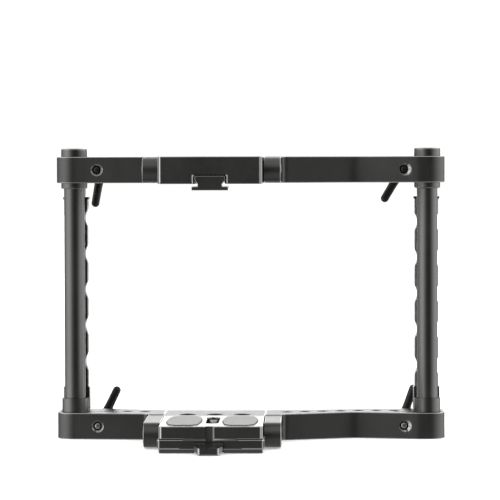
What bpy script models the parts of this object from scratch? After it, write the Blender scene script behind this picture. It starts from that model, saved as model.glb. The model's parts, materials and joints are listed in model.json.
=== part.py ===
"""A camera cage: two curved crossbars on two side posts, with a quick-release camera plate below and a
shoe foot above. Metres, +Z up. The origin is the middle of the base's underside, below the camera plate's
slot. -Y is the side that the camera plate slides out of, and the clamp levers are at +Y."""

import math

import bmesh
import bpy
from mathutils import Vector

MM = 0.001
GAP = 0.3 * MM  # clearance kept between separate pieces
ROUND = 20  # sides of a large turned piece
SMALL_ROUND = 12  # sides of a small turned piece

# Crossbars: an arm on each side, with a leg that runs forward beside the centre block.
BAR_THICK = 14 * MM
TOP_BAR_Z = 136.4 * MM  # underside of the upper crossbar
LEFT_REACH = 75.4 * MM  # from the block's middle to the left post
RIGHT_REACH = 113 * MM
ARM_FRONT_Y = 42 * MM  # front face of an arm, at the post
ARM_DEPTH = 27 * MM
ARM_END_RADIUS = 9.3 * MM
ARM_REAR_CORNER = 6 * MM
LEFT_ROOT_FRONT_Y = 39.5 * MM  # front face of the left arm, at its leg
RIGHT_ROOT_FRONT_Y = 36 * MM
ARM_ROOT_REAR_Y = 60 * MM
ARM_REAR_PAD = 20 * MM  # flat at the rear of the clamp, from the post inwards
FOLD_BACK_SLOPE = 0.33  # the long arm's front runs back from its leg
FOLD_FORWARD_SLOPE = 0.2  # and forward again to its post
FOLD_END = 5 * MM  # from the post's axis
FOLD_ROUNDING = 0.6 * MM
LEG_INNER_X = 26.8 * MM
LEG_OUTER_X = 35.5 * MM
LEG_FRONT_Y = -9 * MM
LEG_RECESS = 0.5 * MM  # a leg is thinner than its arm by this above and below
LEG_FILLET = 3 * MM
HOLE_FIRST_X = 38 * MM
HOLE_PITCH = 9.6 * MM
HOLE_RADIUS = 2.75 * MM

# Side posts: a tube in thicker end sleeves, with a scalloped bar behind it.
POST_Y = ARM_FRONT_Y + ARM_END_RADIUS
TUBE_RADIUS = 5.5 * MM
TUBE_BORE = 4.0 * MM
SLEEVE_RADIUS = 7.0 * MM
SLEEVE_LENGTH = 21.5 * MM
SLEEVE_FLOOR = 1.6 * MM
SLEEVE_CHAMFER = 0.5 * MM
UPPER_SLEEVE_Z = 133.4 * MM
CAP_THICK = 1.2 * MM
POST_TOP_Z = UPPER_SLEEVE_Z + SLEEVE_LENGTH - CAP_THICK - GAP
PLUG_LENGTH = 8 * MM
TUBE_TOP_DROP = 0.4 * MM  # a tube ends this far below its sleeve
POST_SOCKET_RADIUS = 2.3 * MM
CAP_SOCKET_DEPTH = 1.4 * MM  # below the cap's flange
SIDE_BAR_Y = POST_Y + 9.1 * MM  # front face of the scalloped bar
SIDE_BAR_THICK = 6 * MM
SIDE_BAR_HALF = 6.4 * MM
TONGUE_HALF = 5 * MM
SIDE_BAR_END_HALF = 7.1 * MM  # the bar is wider at its ends than between them
SIDE_BAR_LOW_Z = 14.4 * MM
TONGUE_LOW_Z = 0.4 * MM
SIDE_BAR_HIGH_Z = 133.2 * MM
LOWER_END_Z = 26.4 * MM
UPPER_END_Z = 128 * MM
SCALLOP_PITCH = 19.3 * MM
SCALLOP_RADIUS = 7.5 * MM
SCALLOP_DEPTH = 1.4 * MM
SCALLOP_COUNT = 5
SCALLOP_MID_Z = {"left": 79 * MM, "right": 76.6 * MM}
SIDE_BAR_TOP_Z = TOP_BAR_Z + BAR_THICK
BOSS_RADIUS = 3 * MM
BAR_SCREW_SHANK = 1.4 * MM
BAR_SCREW_HEAD = 2.6 * MM
BAR_SCREW_SINK = 2.6 * MM
BAR_SCREW_SOCKET = 1.2 * MM
BAR_SCREW_WEB = 0.5 * MM  # metal left under a screw's socket
BAR_SCREW_ZS = (24.9 * MM, 129.9 * MM)

# Clamp levers, one behind each arm's clamp.
CLAMP_SLIT = 1.2 * MM
CLAMP_SLIT_REACH = 16.5 * MM  # from the post's axis to the slit's end
STUD_OFFSET = 12.6 * MM  # from the post's axis to the lever's axis
STUD_RADIUS = 2.0 * MM
STUD_HOLE_RADIUS = 2.3 * MM
STUD_TIP_DEPTH = 1.0 * MM  # how far the stud's tip sits behind the arm's front
LEVER_LENGTH = 20.5 * MM
LEVER_WIDTH = 4.3 * MM
LEVER_ROOT_WIDTH = 5.6 * MM
GRIP_START = 3.3 * MM  # from the stud's axis
HUB_RADIUS = 4.4 * MM
HUB_START = 1.4 * MM  # along the stud, from the arm's rear face
HUB_END = 10.0 * MM
HUB_CHAMFER = 0.8 * MM
HUB_BORE = 2.7 * MM
HUB_WEB_BORE = 1.2 * MM
HUB_SOCKET_RADIUS = 2.9 * MM
HUB_SOCKET_END = 3.8 * MM
HUB_WEB_END = 4.6 * MM
SPLINE_RADIUS = 2.55 * MM
SPLINE_END = 3.4 * MM
STUD_CHAMFER = 0.4 * MM
STUD_BORE = 1.2 * MM
CLAMP_WASHER_RADIUS = 4.6 * MM
LEVER_SCREW_SHANK = 0.9 * MM
LEVER_SCREW_RADIUS = 2.4 * MM
LEVER_SCREW_START = 0.9 * MM  # from the hub's seat
LEVER_SCREW_WEB = 0.5 * MM
LEVER_SPRING_RADIUS = 1.75 * MM
LEVER_SPRING_WIRE = 0.22 * MM
LEVER_SPRING_TURNS = 3.5
SPRING_PLAY = 0.1 * MM  # between a lever's spring and what it stands on
LEVER_SCREW_HEAD = 8.5 * MM
LEVER_ANGLES = {  # turn about +Y from straight up, in degrees
    "top_left": 190,
    "top_right": 210.5,
    "base_left": 26,
    "base_right": 19,
}

# Centre blocks.
BLOCK_HALF = 26.4 * MM
BLOCK_FRONT_Y = -29.2 * MM
BLOCK_REAR_Y = 60 * MM
BLOCK_CHAMFER = 1.2 * MM
SOCKET_HOLE_RADIUS = 4.4 * MM
SOCKET_HOLE_PITCH = 14.4 * MM
SOCKET_HOLE_Y = 35.4 * MM
TOP_SOCKET_HOLE_Y = 46 * MM
TOP_SMALL_HOLE_PITCH = 11 * MM
TOP_SMALL_HOLES = 3
LOCK_Y = -14 * MM  # the shoe foot's lock screw
LOCK_BORE_RADIUS = 2.3 * MM
LOCK_SCREW_RADIUS = 2.0 * MM
LOCK_SCREW_SOCKET = 1.1 * MM
LOCK_SCREW_SOCKET_DEPTH = 2 * MM
LOCK_SCREW_DROP = 0.8 * MM  # from the block's top
LOCK_SCREW_PLAY = 0.1 * MM  # above the foot's channel
LEG_SCREW_YS = (6 * MM, 29 * MM)
LEG_SCREW_HEAD = 2.9 * MM
LEG_SCREW_SHANK = 1.6 * MM
LEG_SCREW_SINK = 2.6 * MM
LEG_SCREW_REACH = 7 * MM  # how far a screw runs into the block
LEG_SCREW_SOCKET = 1.3 * MM
LOW_LEG_SCREW_Z = 3.8 * MM  # below the camera plate's channel
TOP_LEG_SCREW_RISE = 1.2 * MM  # above the arm's middle, over the shoe's channel

# Quick-release base and camera plate.
JAW_TOP_Z = 7.2 * MM
JAW_LIP_HALF = 27.4 * MM  # in front of the legs, the base's jaws stand out at the sides
JAW_LIP_REAR_Y = -10 * MM
JAW_LIP_RADIUS = 2 * MM
CHANNEL_FLOOR_Z = 2.6 * MM
CHANNEL_TOP_HALF = 14 * MM
CHANNEL_FLOOR_HALF = 16 * MM
BASE_FRONT_BEVEL = 2.6 * MM
PLATE_REAR_Y = 27.2 * MM
SLOT_HALF_WIDTH = 3.3 * MM
SLOT_HALF_LENGTH = 16.4 * MM
SLOT_MID_Y = 2.8 * MM
KEEL_POCKET_HALF_X = 7.2 * MM
KEEL_POCKET_HALF_Y = 20.4 * MM
KEEL_POCKET_TOP_Z = 11.3 * MM
PAD_INNER_X = 5.4 * MM
PAD_OUTER_X = 23.4 * MM
PAD_FRONT_Y = -26 * MM
PAD_REAR_Y = 22.4 * MM
PAD_CORNER = 3.5 * MM
PAD_BOW = 1.6 * MM
PAD_SINK = 1.0 * MM
PAD_PROUD = 0.5 * MM
NOTCH_X = -0.7 * MM
NOTCH_HALF = 1.5 * MM
NOTCH_DEPTH = 0.8 * MM
BUTTON_HALF = 7.3 * MM
BUTTON_FRONT_Y = -40 * MM
BUTTON_REAR_Y = -23.8 * MM
BUTTON_POCKET_REAR_Y = -20.6 * MM
BUTTON_TOP_Z = 6.1 * MM
BUTTON_LOW_Z = 0.2 * MM
BUTTON_CHAMFER = 2.4 * MM
BUTTON_X = -0.8 * MM
BUTTON_BORE_RADIUS = 1.5 * MM
BUTTON_BORE_DEPTH = 5 * MM
BUTTON_SPRING_Z = 4.4 * MM
BUTTON_SPRING_RADIUS = 0.9 * MM
BUTTON_SPRING_WIRE = 0.2 * MM
BUTTON_SPRING_TURNS = 5.5
BUTTON_SPRING_PLAY = 0.4 * MM  # between the spring and its bore's end
KEEL_SIDE_GAP = 0.35 * MM
KEEL_FRONT_GAP = 0.6 * MM

# Camera screw, parked at the rear end of the slot.
SCREW_Y = SLOT_MID_Y + SLOT_HALF_LENGTH - SLOT_HALF_WIDTH
SCREW_RADIUS = 2.9 * MM
SCREW_TIP_Z = 12.9 * MM
SCREW_HEAD_RADIUS = 5.8 * MM
SCREW_HEAD_THICK = 2 * MM
SCREW_HEAD_LIFT = 0.5 * MM  # above the channel's floor
SCREW_SOCKET_RADIUS = 2.4 * MM
SCREW_SOCKET_DEPTH = 1.2 * MM
SCREW_CHAMFER = 0.6 * MM
RING_RADIUS = 5.0 * MM
RING_THICK = 0.7 * MM
WASHER_HALF = 6.6 * MM
WASHER_THICK = 0.8 * MM

# Shoe foot, to the camera-shoe standard.
SHOE_CHANNEL_HALF = 8.9 * MM
SHOE_CHANNEL_TOP_Z = 140.9 * MM
SHOE_CHANNEL_REAR_Y = 34 * MM
SHOE_FLANGE_HALF = 9.3 * MM
SHOE_NECK_HALF = 6.2 * MM
SHOE_HEAD_HALF = 7.6 * MM
SHOE_FLANGE_LOW_Z = 133.2 * MM
SHOE_FLANGE_HIGH_Z = 135.1 * MM
SHOE_HEAD_TOP_Z = 140.5 * MM
SHOE_FLANGE_LENGTH = 18 * MM
SHOE_HEAD_LENGTH = 26 * MM
SHOE_SHOULDER_RISE = 2.2 * MM  # the neck widens into the head up to here
SHOE_FRONT_GAP = 0.2 * MM


# Tools


def clear_scene():
    for obj in list(bpy.data.objects):
        bpy.data.objects.remove(obj, do_unlink=True)


def material(name, colour, roughness, metallic):
    made = bpy.data.materials.new(name)
    made.use_nodes = True
    shader = made.node_tree.nodes["Principled BSDF"]
    shader.inputs["Base Color"].default_value = (*colour, 1)
    shader.inputs["Roughness"].default_value = roughness
    shader.inputs["Metallic"].default_value = metallic
    return made


def object_from(name, bm, finish=None, at=(0, 0, 0), turn_y=0.0):
    """The bmesh as an object. With no finish it is a cutter or a shape to be joined, left out of renders."""
    bmesh.ops.recalc_face_normals(bm, faces=bm.faces)
    mesh = bpy.data.meshes.new(name)
    bm.to_mesh(mesh)
    bm.free()
    mesh.shade_smooth()
    mesh.set_sharp_from_angle(angle=math.radians(30))
    obj = bpy.data.objects.new(name, mesh)
    bpy.context.scene.collection.objects.link(obj)
    obj.location = at
    obj.rotation_euler = (0, turn_y, 0)
    if finish:
        mesh.materials.append(finish)
    else:
        obj.hide_render = True
        obj.display_type = "WIRE"
    return obj


def bridge_rings(bm, rings, cap_first=True, cap_last=True):
    """Quads between rings of equal length, and a face at each end."""
    for a, b in zip(rings, rings[1:]):
        for i in range(len(a)):
            j = (i + 1) % len(a)
            bm.faces.new((a[i], a[j], b[j], b[i]))
    if cap_first:
        bm.faces.new(rings[0][::-1])
    if cap_last:
        bm.faces.new(rings[-1])


AXIS_MAPS = {
    "X": lambda a, b, t: (t, a, b),
    "Y": lambda a, b, t: (a, t, b),
    "Z": lambda a, b, t: (a, b, t),
}


def add_prism(bm, outline, low, high, axis="Z"):
    """A closed prism: the outline's two coordinates are the other two axes, in X, Y, Z order."""
    place = AXIS_MAPS[axis]
    rings = [[bm.verts.new(place(a, b, t)) for a, b in outline] for t in (low, high)]
    bridge_rings(bm, rings)


def add_turned(bm, profile, axis="Z", centre=(0, 0, 0), sides=ROUND):
    """A turned body from (radius, distance along the axis) pairs, closed if its ends aren't on the axis."""
    place = AXIS_MAPS[axis]
    centre = Vector(centre)
    closed = profile[0][0] > 0
    rings = []
    for radius, along in profile:
        if radius == 0:
            rings.append([bm.verts.new(centre + Vector(place(0, 0, along)))])
            continue
        ring = []
        for k in range(sides):
            angle = 2 * math.pi * k / sides
            spot = place(radius * math.cos(angle), radius * math.sin(angle), along)
            ring.append(bm.verts.new(centre + Vector(spot)))
        rings.append(ring)
    pairs = list(zip(rings, rings[1:]))
    if closed:
        pairs.append((rings[-1], rings[0]))
    for a, b in pairs:
        for k in range(sides):
            n = (k + 1) % sides
            corners = [a[k % len(a)], a[n % len(a)], b[n % len(b)], b[k % len(b)]]
            bm.faces.new(list(dict.fromkeys(corners)))


def rod_profile(radius, low, high):
    return [(0, low), (radius, low), (radius, high), (0, high)]


def tube_profile(outer, inner, low, high):
    return [(outer, low), (outer, high), (inner, high), (inner, low)]


def stepped_profile(shank, start, head, seat, end):
    """The bore of a sunk screw, with clearance round its shank and its head."""
    shank += GAP
    head += GAP
    return [(0, start), (shank, start), (shank, seat), (head, seat), (head, end), (0, end)]


def add_rod(bm, radius, low, high, axis="Z", centre=(0, 0, 0), sides=SMALL_ROUND):
    add_turned(bm, rod_profile(radius, low, high), axis, centre, sides)


def box_outline(a_low, a_high, b_low, b_high):
    return [(a_low, b_low), (a_high, b_low), (a_high, b_high), (a_low, b_high)]


def add_box(bm, x_low, x_high, y_low, y_high, z_low, z_high):
    add_prism(bm, box_outline(x_low, x_high, y_low, y_high), z_low, z_high)


def arc(centre, radius, start, end, steps):
    """Points from angle start to angle end, in degrees."""
    points = []
    for k in range(steps + 1):
        angle = math.radians(start + (end - start) * k / steps)
        points.append(
            (centre[0] + radius * math.cos(angle), centre[1] + radius * math.sin(angle))
        )
    return points


def boolean(obj, other, operation):
    modifier = obj.modifiers.new(other.name, "BOOLEAN")
    modifier.operation = operation
    modifier.object = other
    modifier.solver = "EXACT"


def shape(name, *fills):
    """A helper object holding every body that the fills add."""
    bm = bmesh.new()
    for fill in fills:
        fill(bm)
    return object_from(name, bm)


def part(name, finish, *fills, at=(0, 0, 0), turn_y=0.0):
    bm = bmesh.new()
    for fill in fills:
        fill(bm)
    return object_from(name, bm, finish, at, turn_y)


# Crossbar arms. The outline is drawn for the +X side and mirrored for the other.


ARMS = {  # side of the centre, reach, front edge's Y at the leg, folded front, number of accessory holes
    "left": (-1, LEFT_REACH, LEFT_ROOT_FRONT_Y, False, 3),
    "right": (1, RIGHT_REACH, RIGHT_ROOT_FRONT_Y, True, 7),
}


def arm_front(x, reach, root_y, folded):
    """The front edge's Y at a distance x from the block's middle."""
    if not folded:
        share = min(max((x - LEG_OUTER_X) / (reach - 2 * MM - LEG_OUTER_X), 0), 1)
        return root_y + share * (ARM_FRONT_Y - root_y)
    back = root_y + FOLD_BACK_SLOPE * (x - LEG_OUTER_X)
    forward = ARM_FRONT_Y + FOLD_FORWARD_SLOPE * max(reach - FOLD_END - x, 0)
    return 0.5 * (back + forward) - math.hypot(0.5 * (back - forward), FOLD_ROUNDING)


def arm_rear(x, reach):
    share = min((x - LEG_INNER_X) / (reach - ARM_REAR_PAD - LEG_INNER_X), 1)
    return ARM_ROOT_REAR_Y + share * (ARM_FRONT_Y + ARM_DEPTH - ARM_ROOT_REAR_Y)


def arm_outline(reach, root_y, folded):
    fillet_end = LEG_OUTER_X + LEG_FILLET
    fillet_y = arm_front(fillet_end, reach, root_y, folded) - LEG_FILLET
    points = [(LEG_INNER_X, fillet_y)]
    points += arc((fillet_end, fillet_y), LEG_FILLET, 180, 90, 4)
    steps = 16 if folded else 4
    end_x = reach - 2 * MM
    for k in range(1, steps + 1):
        x = fillet_end + (end_x - fillet_end) * k / steps
        points.append((x, arm_front(x, reach, root_y, folded)))
    points += arc((reach, POST_Y), ARM_END_RADIUS, -90, 0, 8)
    corner = (reach + ARM_END_RADIUS - ARM_REAR_CORNER, ARM_FRONT_Y + ARM_DEPTH - ARM_REAR_CORNER)
    points += arc(corner, ARM_REAR_CORNER, 0, 90, 6)
    points.append((reach - ARM_REAR_PAD, ARM_FRONT_Y + ARM_DEPTH))
    points.append((LEG_INNER_X, ARM_ROOT_REAR_Y))
    return points


def leg_outline():
    """Side view of a leg, Y and Z, with a full-round front."""
    low = LEG_RECESS
    radius = 0.5 * BAR_THICK - LEG_RECESS
    nose = arc((LEG_FRONT_Y + radius, low + radius), radius, 90, 270, 12)
    inside = LEFT_ROOT_FRONT_Y + 6 * MM
    return nose + [(inside, low), (inside, low + 2 * radius)]


def arm_holes(reach, root_y, folded, count):
    """The middles of the accessory holes, half way between the arm's edges."""
    spots = []
    for k in range(count):
        x = HOLE_FIRST_X + k * HOLE_PITCH
        spots.append((x, 0.5 * (arm_front(x, reach, root_y, folded) + arm_rear(x, reach))))
    return spots


def make_arm(level, side_name, finish, z, screw_zs):
    """z is the arm's underside."""
    name = f"{level}_{side_name}_arm"
    side, reach, root_y, folded, count = ARMS[side_name]

    def flip(points):
        return [(side * x, y) for x, y in points]

    stud_x = side * (reach - STUD_OFFSET)
    rear_y = ARM_FRONT_Y + ARM_DEPTH
    mid_z = 0.5 * BAR_THICK
    past = 1 * MM
    obj = part(
        name,
        finish,
        lambda bm: add_prism(bm, flip(arm_outline(reach, root_y, folded)), 0, BAR_THICK),
        at=(0, 0, z),
    )
    leg_x = sorted((side * LEG_INNER_X, side * LEG_OUTER_X))
    leg = shape(
        name + "_leg", lambda bm: add_prism(bm, leg_outline(), leg_x[0], leg_x[1], "X")
    )

    def upright_bores(bm):
        for x, y in flip(arm_holes(reach, root_y, folded, count)):
            add_rod(bm, HOLE_RADIUS, -past, BAR_THICK + past, "Z", (x, y, 0))
        clear = SLEEVE_RADIUS + GAP
        add_rod(bm, clear, -past, BAR_THICK + past, "Z", (side * reach, POST_Y, 0), ROUND)
        half = TONGUE_HALF + GAP
        add_box(
            bm,
            side * reach - half,
            side * reach + half,
            SIDE_BAR_Y - GAP,
            SIDE_BAR_Y + SIDE_BAR_THICK + GAP,
            -past,
            BAR_THICK + past,
        )

    def slit(bm):
        near = side * (reach - SLEEVE_RADIUS + 1 * MM)
        far = side * (reach - CLAMP_SLIT_REACH)
        low, high = sorted((near, far))
        half = 0.5 * CLAMP_SLIT
        add_box(bm, low, high, POST_Y - half, POST_Y + half, -past, BAR_THICK + past)

    def stud_bore(bm):
        low = ARM_FRONT_Y - 2 * MM
        centre = (stud_x, 0, mid_z)
        add_rod(bm, STUD_HOLE_RADIUS, low, rear_y + past, "Y", centre)

    def leg_screw_bores(bm):
        seat = LEG_OUTER_X - LEG_SCREW_SINK
        end = LEG_OUTER_X + past
        bore = stepped_profile(LEG_SCREW_SHANK, LEG_INNER_X - past, LEG_SCREW_HEAD, seat, end)
        turned = [(radius, side * along) for radius, along in bore]
        for y, screw_z in zip(LEG_SCREW_YS, screw_zs):
            add_turned(bm, turned, "X", (0, y, screw_z), SMALL_ROUND)

    cutters = [
        shape(name + "_bores", upright_bores),
        shape(name + "_slit", slit),
        shape(name + "_stud_bore", stud_bore),
        shape(name + "_screw_bores", leg_screw_bores),
    ]
    for helper in [leg] + cutters:
        helper.location.z = z
    boolean(obj, leg, "UNION")
    for cutter in cutters:
        boolean(obj, cutter, "DIFFERENCE")
    return obj


def make_leg_screws(level, side_name, side, finish, screw_zs, z):
    """The two socket screws that hold a leg to the block."""
    inside = BLOCK_HALF - LEG_SCREW_REACH
    seat = LEG_OUTER_X - LEG_SCREW_SINK + GAP
    profile = [
        (0, inside),
        (LEG_SCREW_SHANK, inside),
        (LEG_SCREW_SHANK, seat),
        (LEG_SCREW_HEAD, seat),
        (LEG_SCREW_HEAD, LEG_OUTER_X - GAP),
        (LEG_SCREW_SOCKET, LEG_OUTER_X - GAP),
        (LEG_SCREW_SOCKET, seat + GAP),
        (0, seat + GAP),
    ]
    turned = [(radius, side * along) for radius, along in profile]
    for place, y, screw_z in zip(("front", "rear"), LEG_SCREW_YS, screw_zs):
        part(
            f"{level}_{side_name}_{place}_leg_screw",
            finish,
            lambda bm: add_turned(bm, turned, "X", sides=SMALL_ROUND),
            at=(0, y, z + screw_z),
        )


def leg_screw_cutter(name, screw_zs, z):
    """Clearance for the screws in a centre block."""

    def fill(bm):
        for side in (-1, 1):
            for y, screw_z in zip(LEG_SCREW_YS, screw_zs):
                low = BLOCK_HALF - LEG_SCREW_REACH - GAP
                span = sorted((side * low, side * (BLOCK_HALF + 1 * MM)))
                add_rod(bm, LEG_SCREW_SHANK + GAP, *span, "X", (0, y, z + screw_z))

    return shape(name, fill)


# Centre blocks


def block_outline(front, rear, chamfer):
    return [
        (-BLOCK_HALF + chamfer, front),
        (BLOCK_HALF - chamfer, front),
        (BLOCK_HALF, front + chamfer),
        (BLOCK_HALF, rear),
        (-BLOCK_HALF, rear),
        (-BLOCK_HALF, front + chamfer),
    ]


def socket_holes(low, high):
    def fill(bm):
        for x in (-SOCKET_HOLE_PITCH, 0, SOCKET_HOLE_PITCH):
            add_rod(bm, SOCKET_HOLE_RADIUS, low, high, "Z", (x, SOCKET_HOLE_Y, 0), 24)

    return fill


def make_base_block(finish, screw_zs):
    side_view = [
        (BLOCK_FRONT_Y, BASE_FRONT_BEVEL),
        (BLOCK_FRONT_Y + BASE_FRONT_BEVEL, 0),
        (BLOCK_REAR_Y, 0),
        (BLOCK_REAR_Y, BAR_THICK),
        (PLATE_REAR_Y + GAP, BAR_THICK),
        (PLATE_REAR_Y + GAP, JAW_TOP_Z),
        (BLOCK_FRONT_Y, JAW_TOP_Z),
    ]
    obj = part(
        "base_block",
        finish,
        lambda bm: add_prism(bm, side_view, -BLOCK_HALF, BLOCK_HALF, "X"),
    )
    past = 1 * MM
    lip = JAW_LIP_RADIUS
    lip_outline = arc((-JAW_LIP_HALF + lip, BLOCK_FRONT_Y + lip), lip, 180, 270, 4)
    lip_outline += arc((JAW_LIP_HALF - lip, BLOCK_FRONT_Y + lip), lip, 270, 360, 4)
    lip_outline += [(JAW_LIP_HALF, JAW_LIP_REAR_Y), (-JAW_LIP_HALF, JAW_LIP_REAR_Y)]
    lips = shape(
        "base_jaw_lips",
        lambda bm: add_prism(bm, lip_outline, BASE_FRONT_BEVEL, JAW_TOP_Z),
    )
    boolean(obj, lips, "UNION")
    rise = JAW_TOP_Z - CHANNEL_FLOOR_Z
    flare = (CHANNEL_FLOOR_HALF - CHANNEL_TOP_HALF) * past / rise
    channel = [
        (-CHANNEL_FLOOR_HALF, CHANNEL_FLOOR_Z),
        (CHANNEL_FLOOR_HALF, CHANNEL_FLOOR_Z),
        (CHANNEL_TOP_HALF - flare, JAW_TOP_Z + past),
        (-CHANNEL_TOP_HALF + flare, JAW_TOP_Z + past),
    ]
    front = BLOCK_FRONT_Y - past
    cutters = [
        shape(
            "base_channel",
            lambda bm: add_prism(bm, channel, front, PLATE_REAR_Y + GAP, "Y"),
        ),
        shape(
            "base_button_notch",
            lambda bm: add_box(
                bm,
                BUTTON_X - BUTTON_HALF - GAP,
                BUTTON_X + BUTTON_HALF + GAP,
                front,
                BUTTON_POCKET_REAR_Y,
                -past,
                CHANNEL_FLOOR_Z + past,
            ),
        ),
        shape("base_socket_holes", socket_holes(-past, BAR_THICK + past)),
        leg_screw_cutter("base_screw_bores", screw_zs, 0),
    ]
    for cutter in cutters:
        boolean(obj, cutter, "DIFFERENCE")
    return obj


def make_top_block(finish, screw_zs):
    outline = block_outline(BLOCK_FRONT_Y, BLOCK_REAR_Y, BLOCK_CHAMFER)
    top_z = TOP_BAR_Z + BAR_THICK
    obj = part("top_block", finish, lambda bm: add_prism(bm, outline, TOP_BAR_Z, top_z))
    past = 1 * MM
    cutters = [
        shape(
            "top_shoe_channel",
            lambda bm: add_box(
                bm,
                -SHOE_CHANNEL_HALF,
                SHOE_CHANNEL_HALF,
                BLOCK_FRONT_Y - past,
                SHOE_CHANNEL_REAR_Y,
                TOP_BAR_Z - past,
                SHOE_CHANNEL_TOP_Z,
            ),
        ),
        shape(
            "top_lock_bore",
            lambda bm: add_rod(
                bm,
                LOCK_BORE_RADIUS,
                SHOE_CHANNEL_TOP_Z - past,
                top_z + past,
                "Z",
                (0, LOCK_Y, 0),
            ),
        ),
        shape("top_socket_holes", top_socket_holes),
        leg_screw_cutter("top_screw_bores", screw_zs, TOP_BAR_Z),
    ]
    for cutter in cutters:
        boolean(obj, cutter, "DIFFERENCE")
    return obj


def top_socket_holes(bm):
    """Accessory holes through the upper block, clear of the shoe foot's channel."""
    low = TOP_BAR_Z - 1 * MM
    high = TOP_BAR_Z + BAR_THICK + 1 * MM
    for x in (-SOCKET_HOLE_PITCH, 0, SOCKET_HOLE_PITCH):
        add_rod(bm, SOCKET_HOLE_RADIUS, low, high, "Z", (x, TOP_SOCKET_HOLE_Y, 0), 24)
    for side in (-1, 1):
        for k in range(TOP_SMALL_HOLES):
            y = (k - TOP_SMALL_HOLES + 1) * TOP_SMALL_HOLE_PITCH
            add_rod(bm, HOLE_RADIUS, low, high, "Z", (side * SOCKET_HOLE_PITCH, y, 0))


# Camera plate


def pad_outline(side, grow=0.0):
    """A pad's outline: bowed sides, straight ends and cut corners."""
    mid_x = 0.5 * (PAD_INNER_X + PAD_OUTER_X)
    mid_y = 0.5 * (PAD_FRONT_Y + PAD_REAR_Y)
    half_width = 0.5 * (PAD_OUTER_X - PAD_INNER_X) + grow
    half_length = 0.5 * (PAD_REAR_Y - PAD_FRONT_Y) + grow
    reach = half_length - PAD_CORNER
    points = [(mid_x + half_width - PAD_BOW - PAD_CORNER, mid_y + half_length)]
    points.append((mid_x - half_width + PAD_BOW + PAD_CORNER, mid_y + half_length))
    for turn in (-1, 1):
        for k in range(-3, 4):
            share = turn * k / 3
            sag = PAD_BOW * share * share
            points.append((mid_x + turn * (half_width - sag), mid_y + share * reach))
        if turn == -1:
            points.append((mid_x - half_width + PAD_BOW + PAD_CORNER, mid_y - half_length))
            points.append((mid_x + half_width - PAD_BOW - PAD_CORNER, mid_y - half_length))
    return [(side * x, y) for x, y in points]


def slot_outline():
    reach = SLOT_HALF_LENGTH - SLOT_HALF_WIDTH
    rear = arc((0, SLOT_MID_Y + reach), SLOT_HALF_WIDTH, 0, 180, 8)
    return rear + arc((0, SLOT_MID_Y - reach), SLOT_HALF_WIDTH, 180, 360, 8)


def make_camera_plate(finish):
    low = JAW_TOP_Z + GAP
    outline = block_outline(BLOCK_FRONT_Y, PLATE_REAR_Y, BLOCK_CHAMFER)
    obj = part("camera_plate", finish, lambda bm: add_prism(bm, outline, low, BAR_THICK))
    slope = (CHANNEL_FLOOR_HALF - CHANNEL_TOP_HALF) / (JAW_TOP_Z - CHANNEL_FLOOR_Z)
    keel_low = CHANNEL_FLOOR_Z + GAP
    low_half = CHANNEL_FLOOR_HALF - slope * GAP - KEEL_SIDE_GAP
    join_z = low + 1 * MM
    high_half = CHANNEL_FLOOR_HALF - slope * (join_z - CHANNEL_FLOOR_Z) - KEEL_SIDE_GAP
    keel_outline = [
        (-low_half, keel_low),
        (low_half, keel_low),
        (high_half, join_z),
        (-high_half, join_z),
    ]
    keel = shape(
        "plate_keel",
        lambda bm: add_prism(
            bm, keel_outline, BLOCK_FRONT_Y + KEEL_FRONT_GAP, PLATE_REAR_Y - GAP, "Y"
        ),
    )
    past = 1 * MM
    cutters = [
        shape(
            "plate_slot",
            lambda bm: add_prism(
                bm,
                slot_outline(),
                KEEL_POCKET_TOP_Z - past,
                BAR_THICK + past,
            ),
        ),
        shape(
            "plate_keel_pocket",
            lambda bm: add_box(
                bm,
                -KEEL_POCKET_HALF_X,
                KEEL_POCKET_HALF_X,
                SLOT_MID_Y - KEEL_POCKET_HALF_Y,
                SLOT_MID_Y + KEEL_POCKET_HALF_Y,
                keel_low - past,
                KEEL_POCKET_TOP_Z,
            ),
        ),
        shape(
            "plate_pad_pockets",
            lambda bm: add_prism(
                bm, pad_outline(1, GAP), BAR_THICK - PAD_SINK, BAR_THICK + past
            ),
            lambda bm: add_prism(
                bm, pad_outline(-1, GAP), BAR_THICK - PAD_SINK, BAR_THICK + past
            ),
        ),
        shape(
            "plate_notch",
            lambda bm: add_box(
                bm,
                NOTCH_X - NOTCH_HALF,
                NOTCH_X + NOTCH_HALF,
                BLOCK_FRONT_Y - past,
                BLOCK_FRONT_Y + NOTCH_DEPTH,
                low - past,
                BAR_THICK + past,
            ),
        ),
        shape(
            "plate_button_pocket",
            lambda bm: add_box(
                bm,
                BUTTON_X - BUTTON_HALF - GAP,
                BUTTON_X + BUTTON_HALF + GAP,
                BLOCK_FRONT_Y - past,
                BUTTON_POCKET_REAR_Y,
                keel_low - past,
                BUTTON_TOP_Z + GAP,
            ),
        ),
    ]
    boolean(obj, keel, "UNION")
    for cutter in cutters:
        boolean(obj, cutter, "DIFFERENCE")
    return obj


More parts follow.
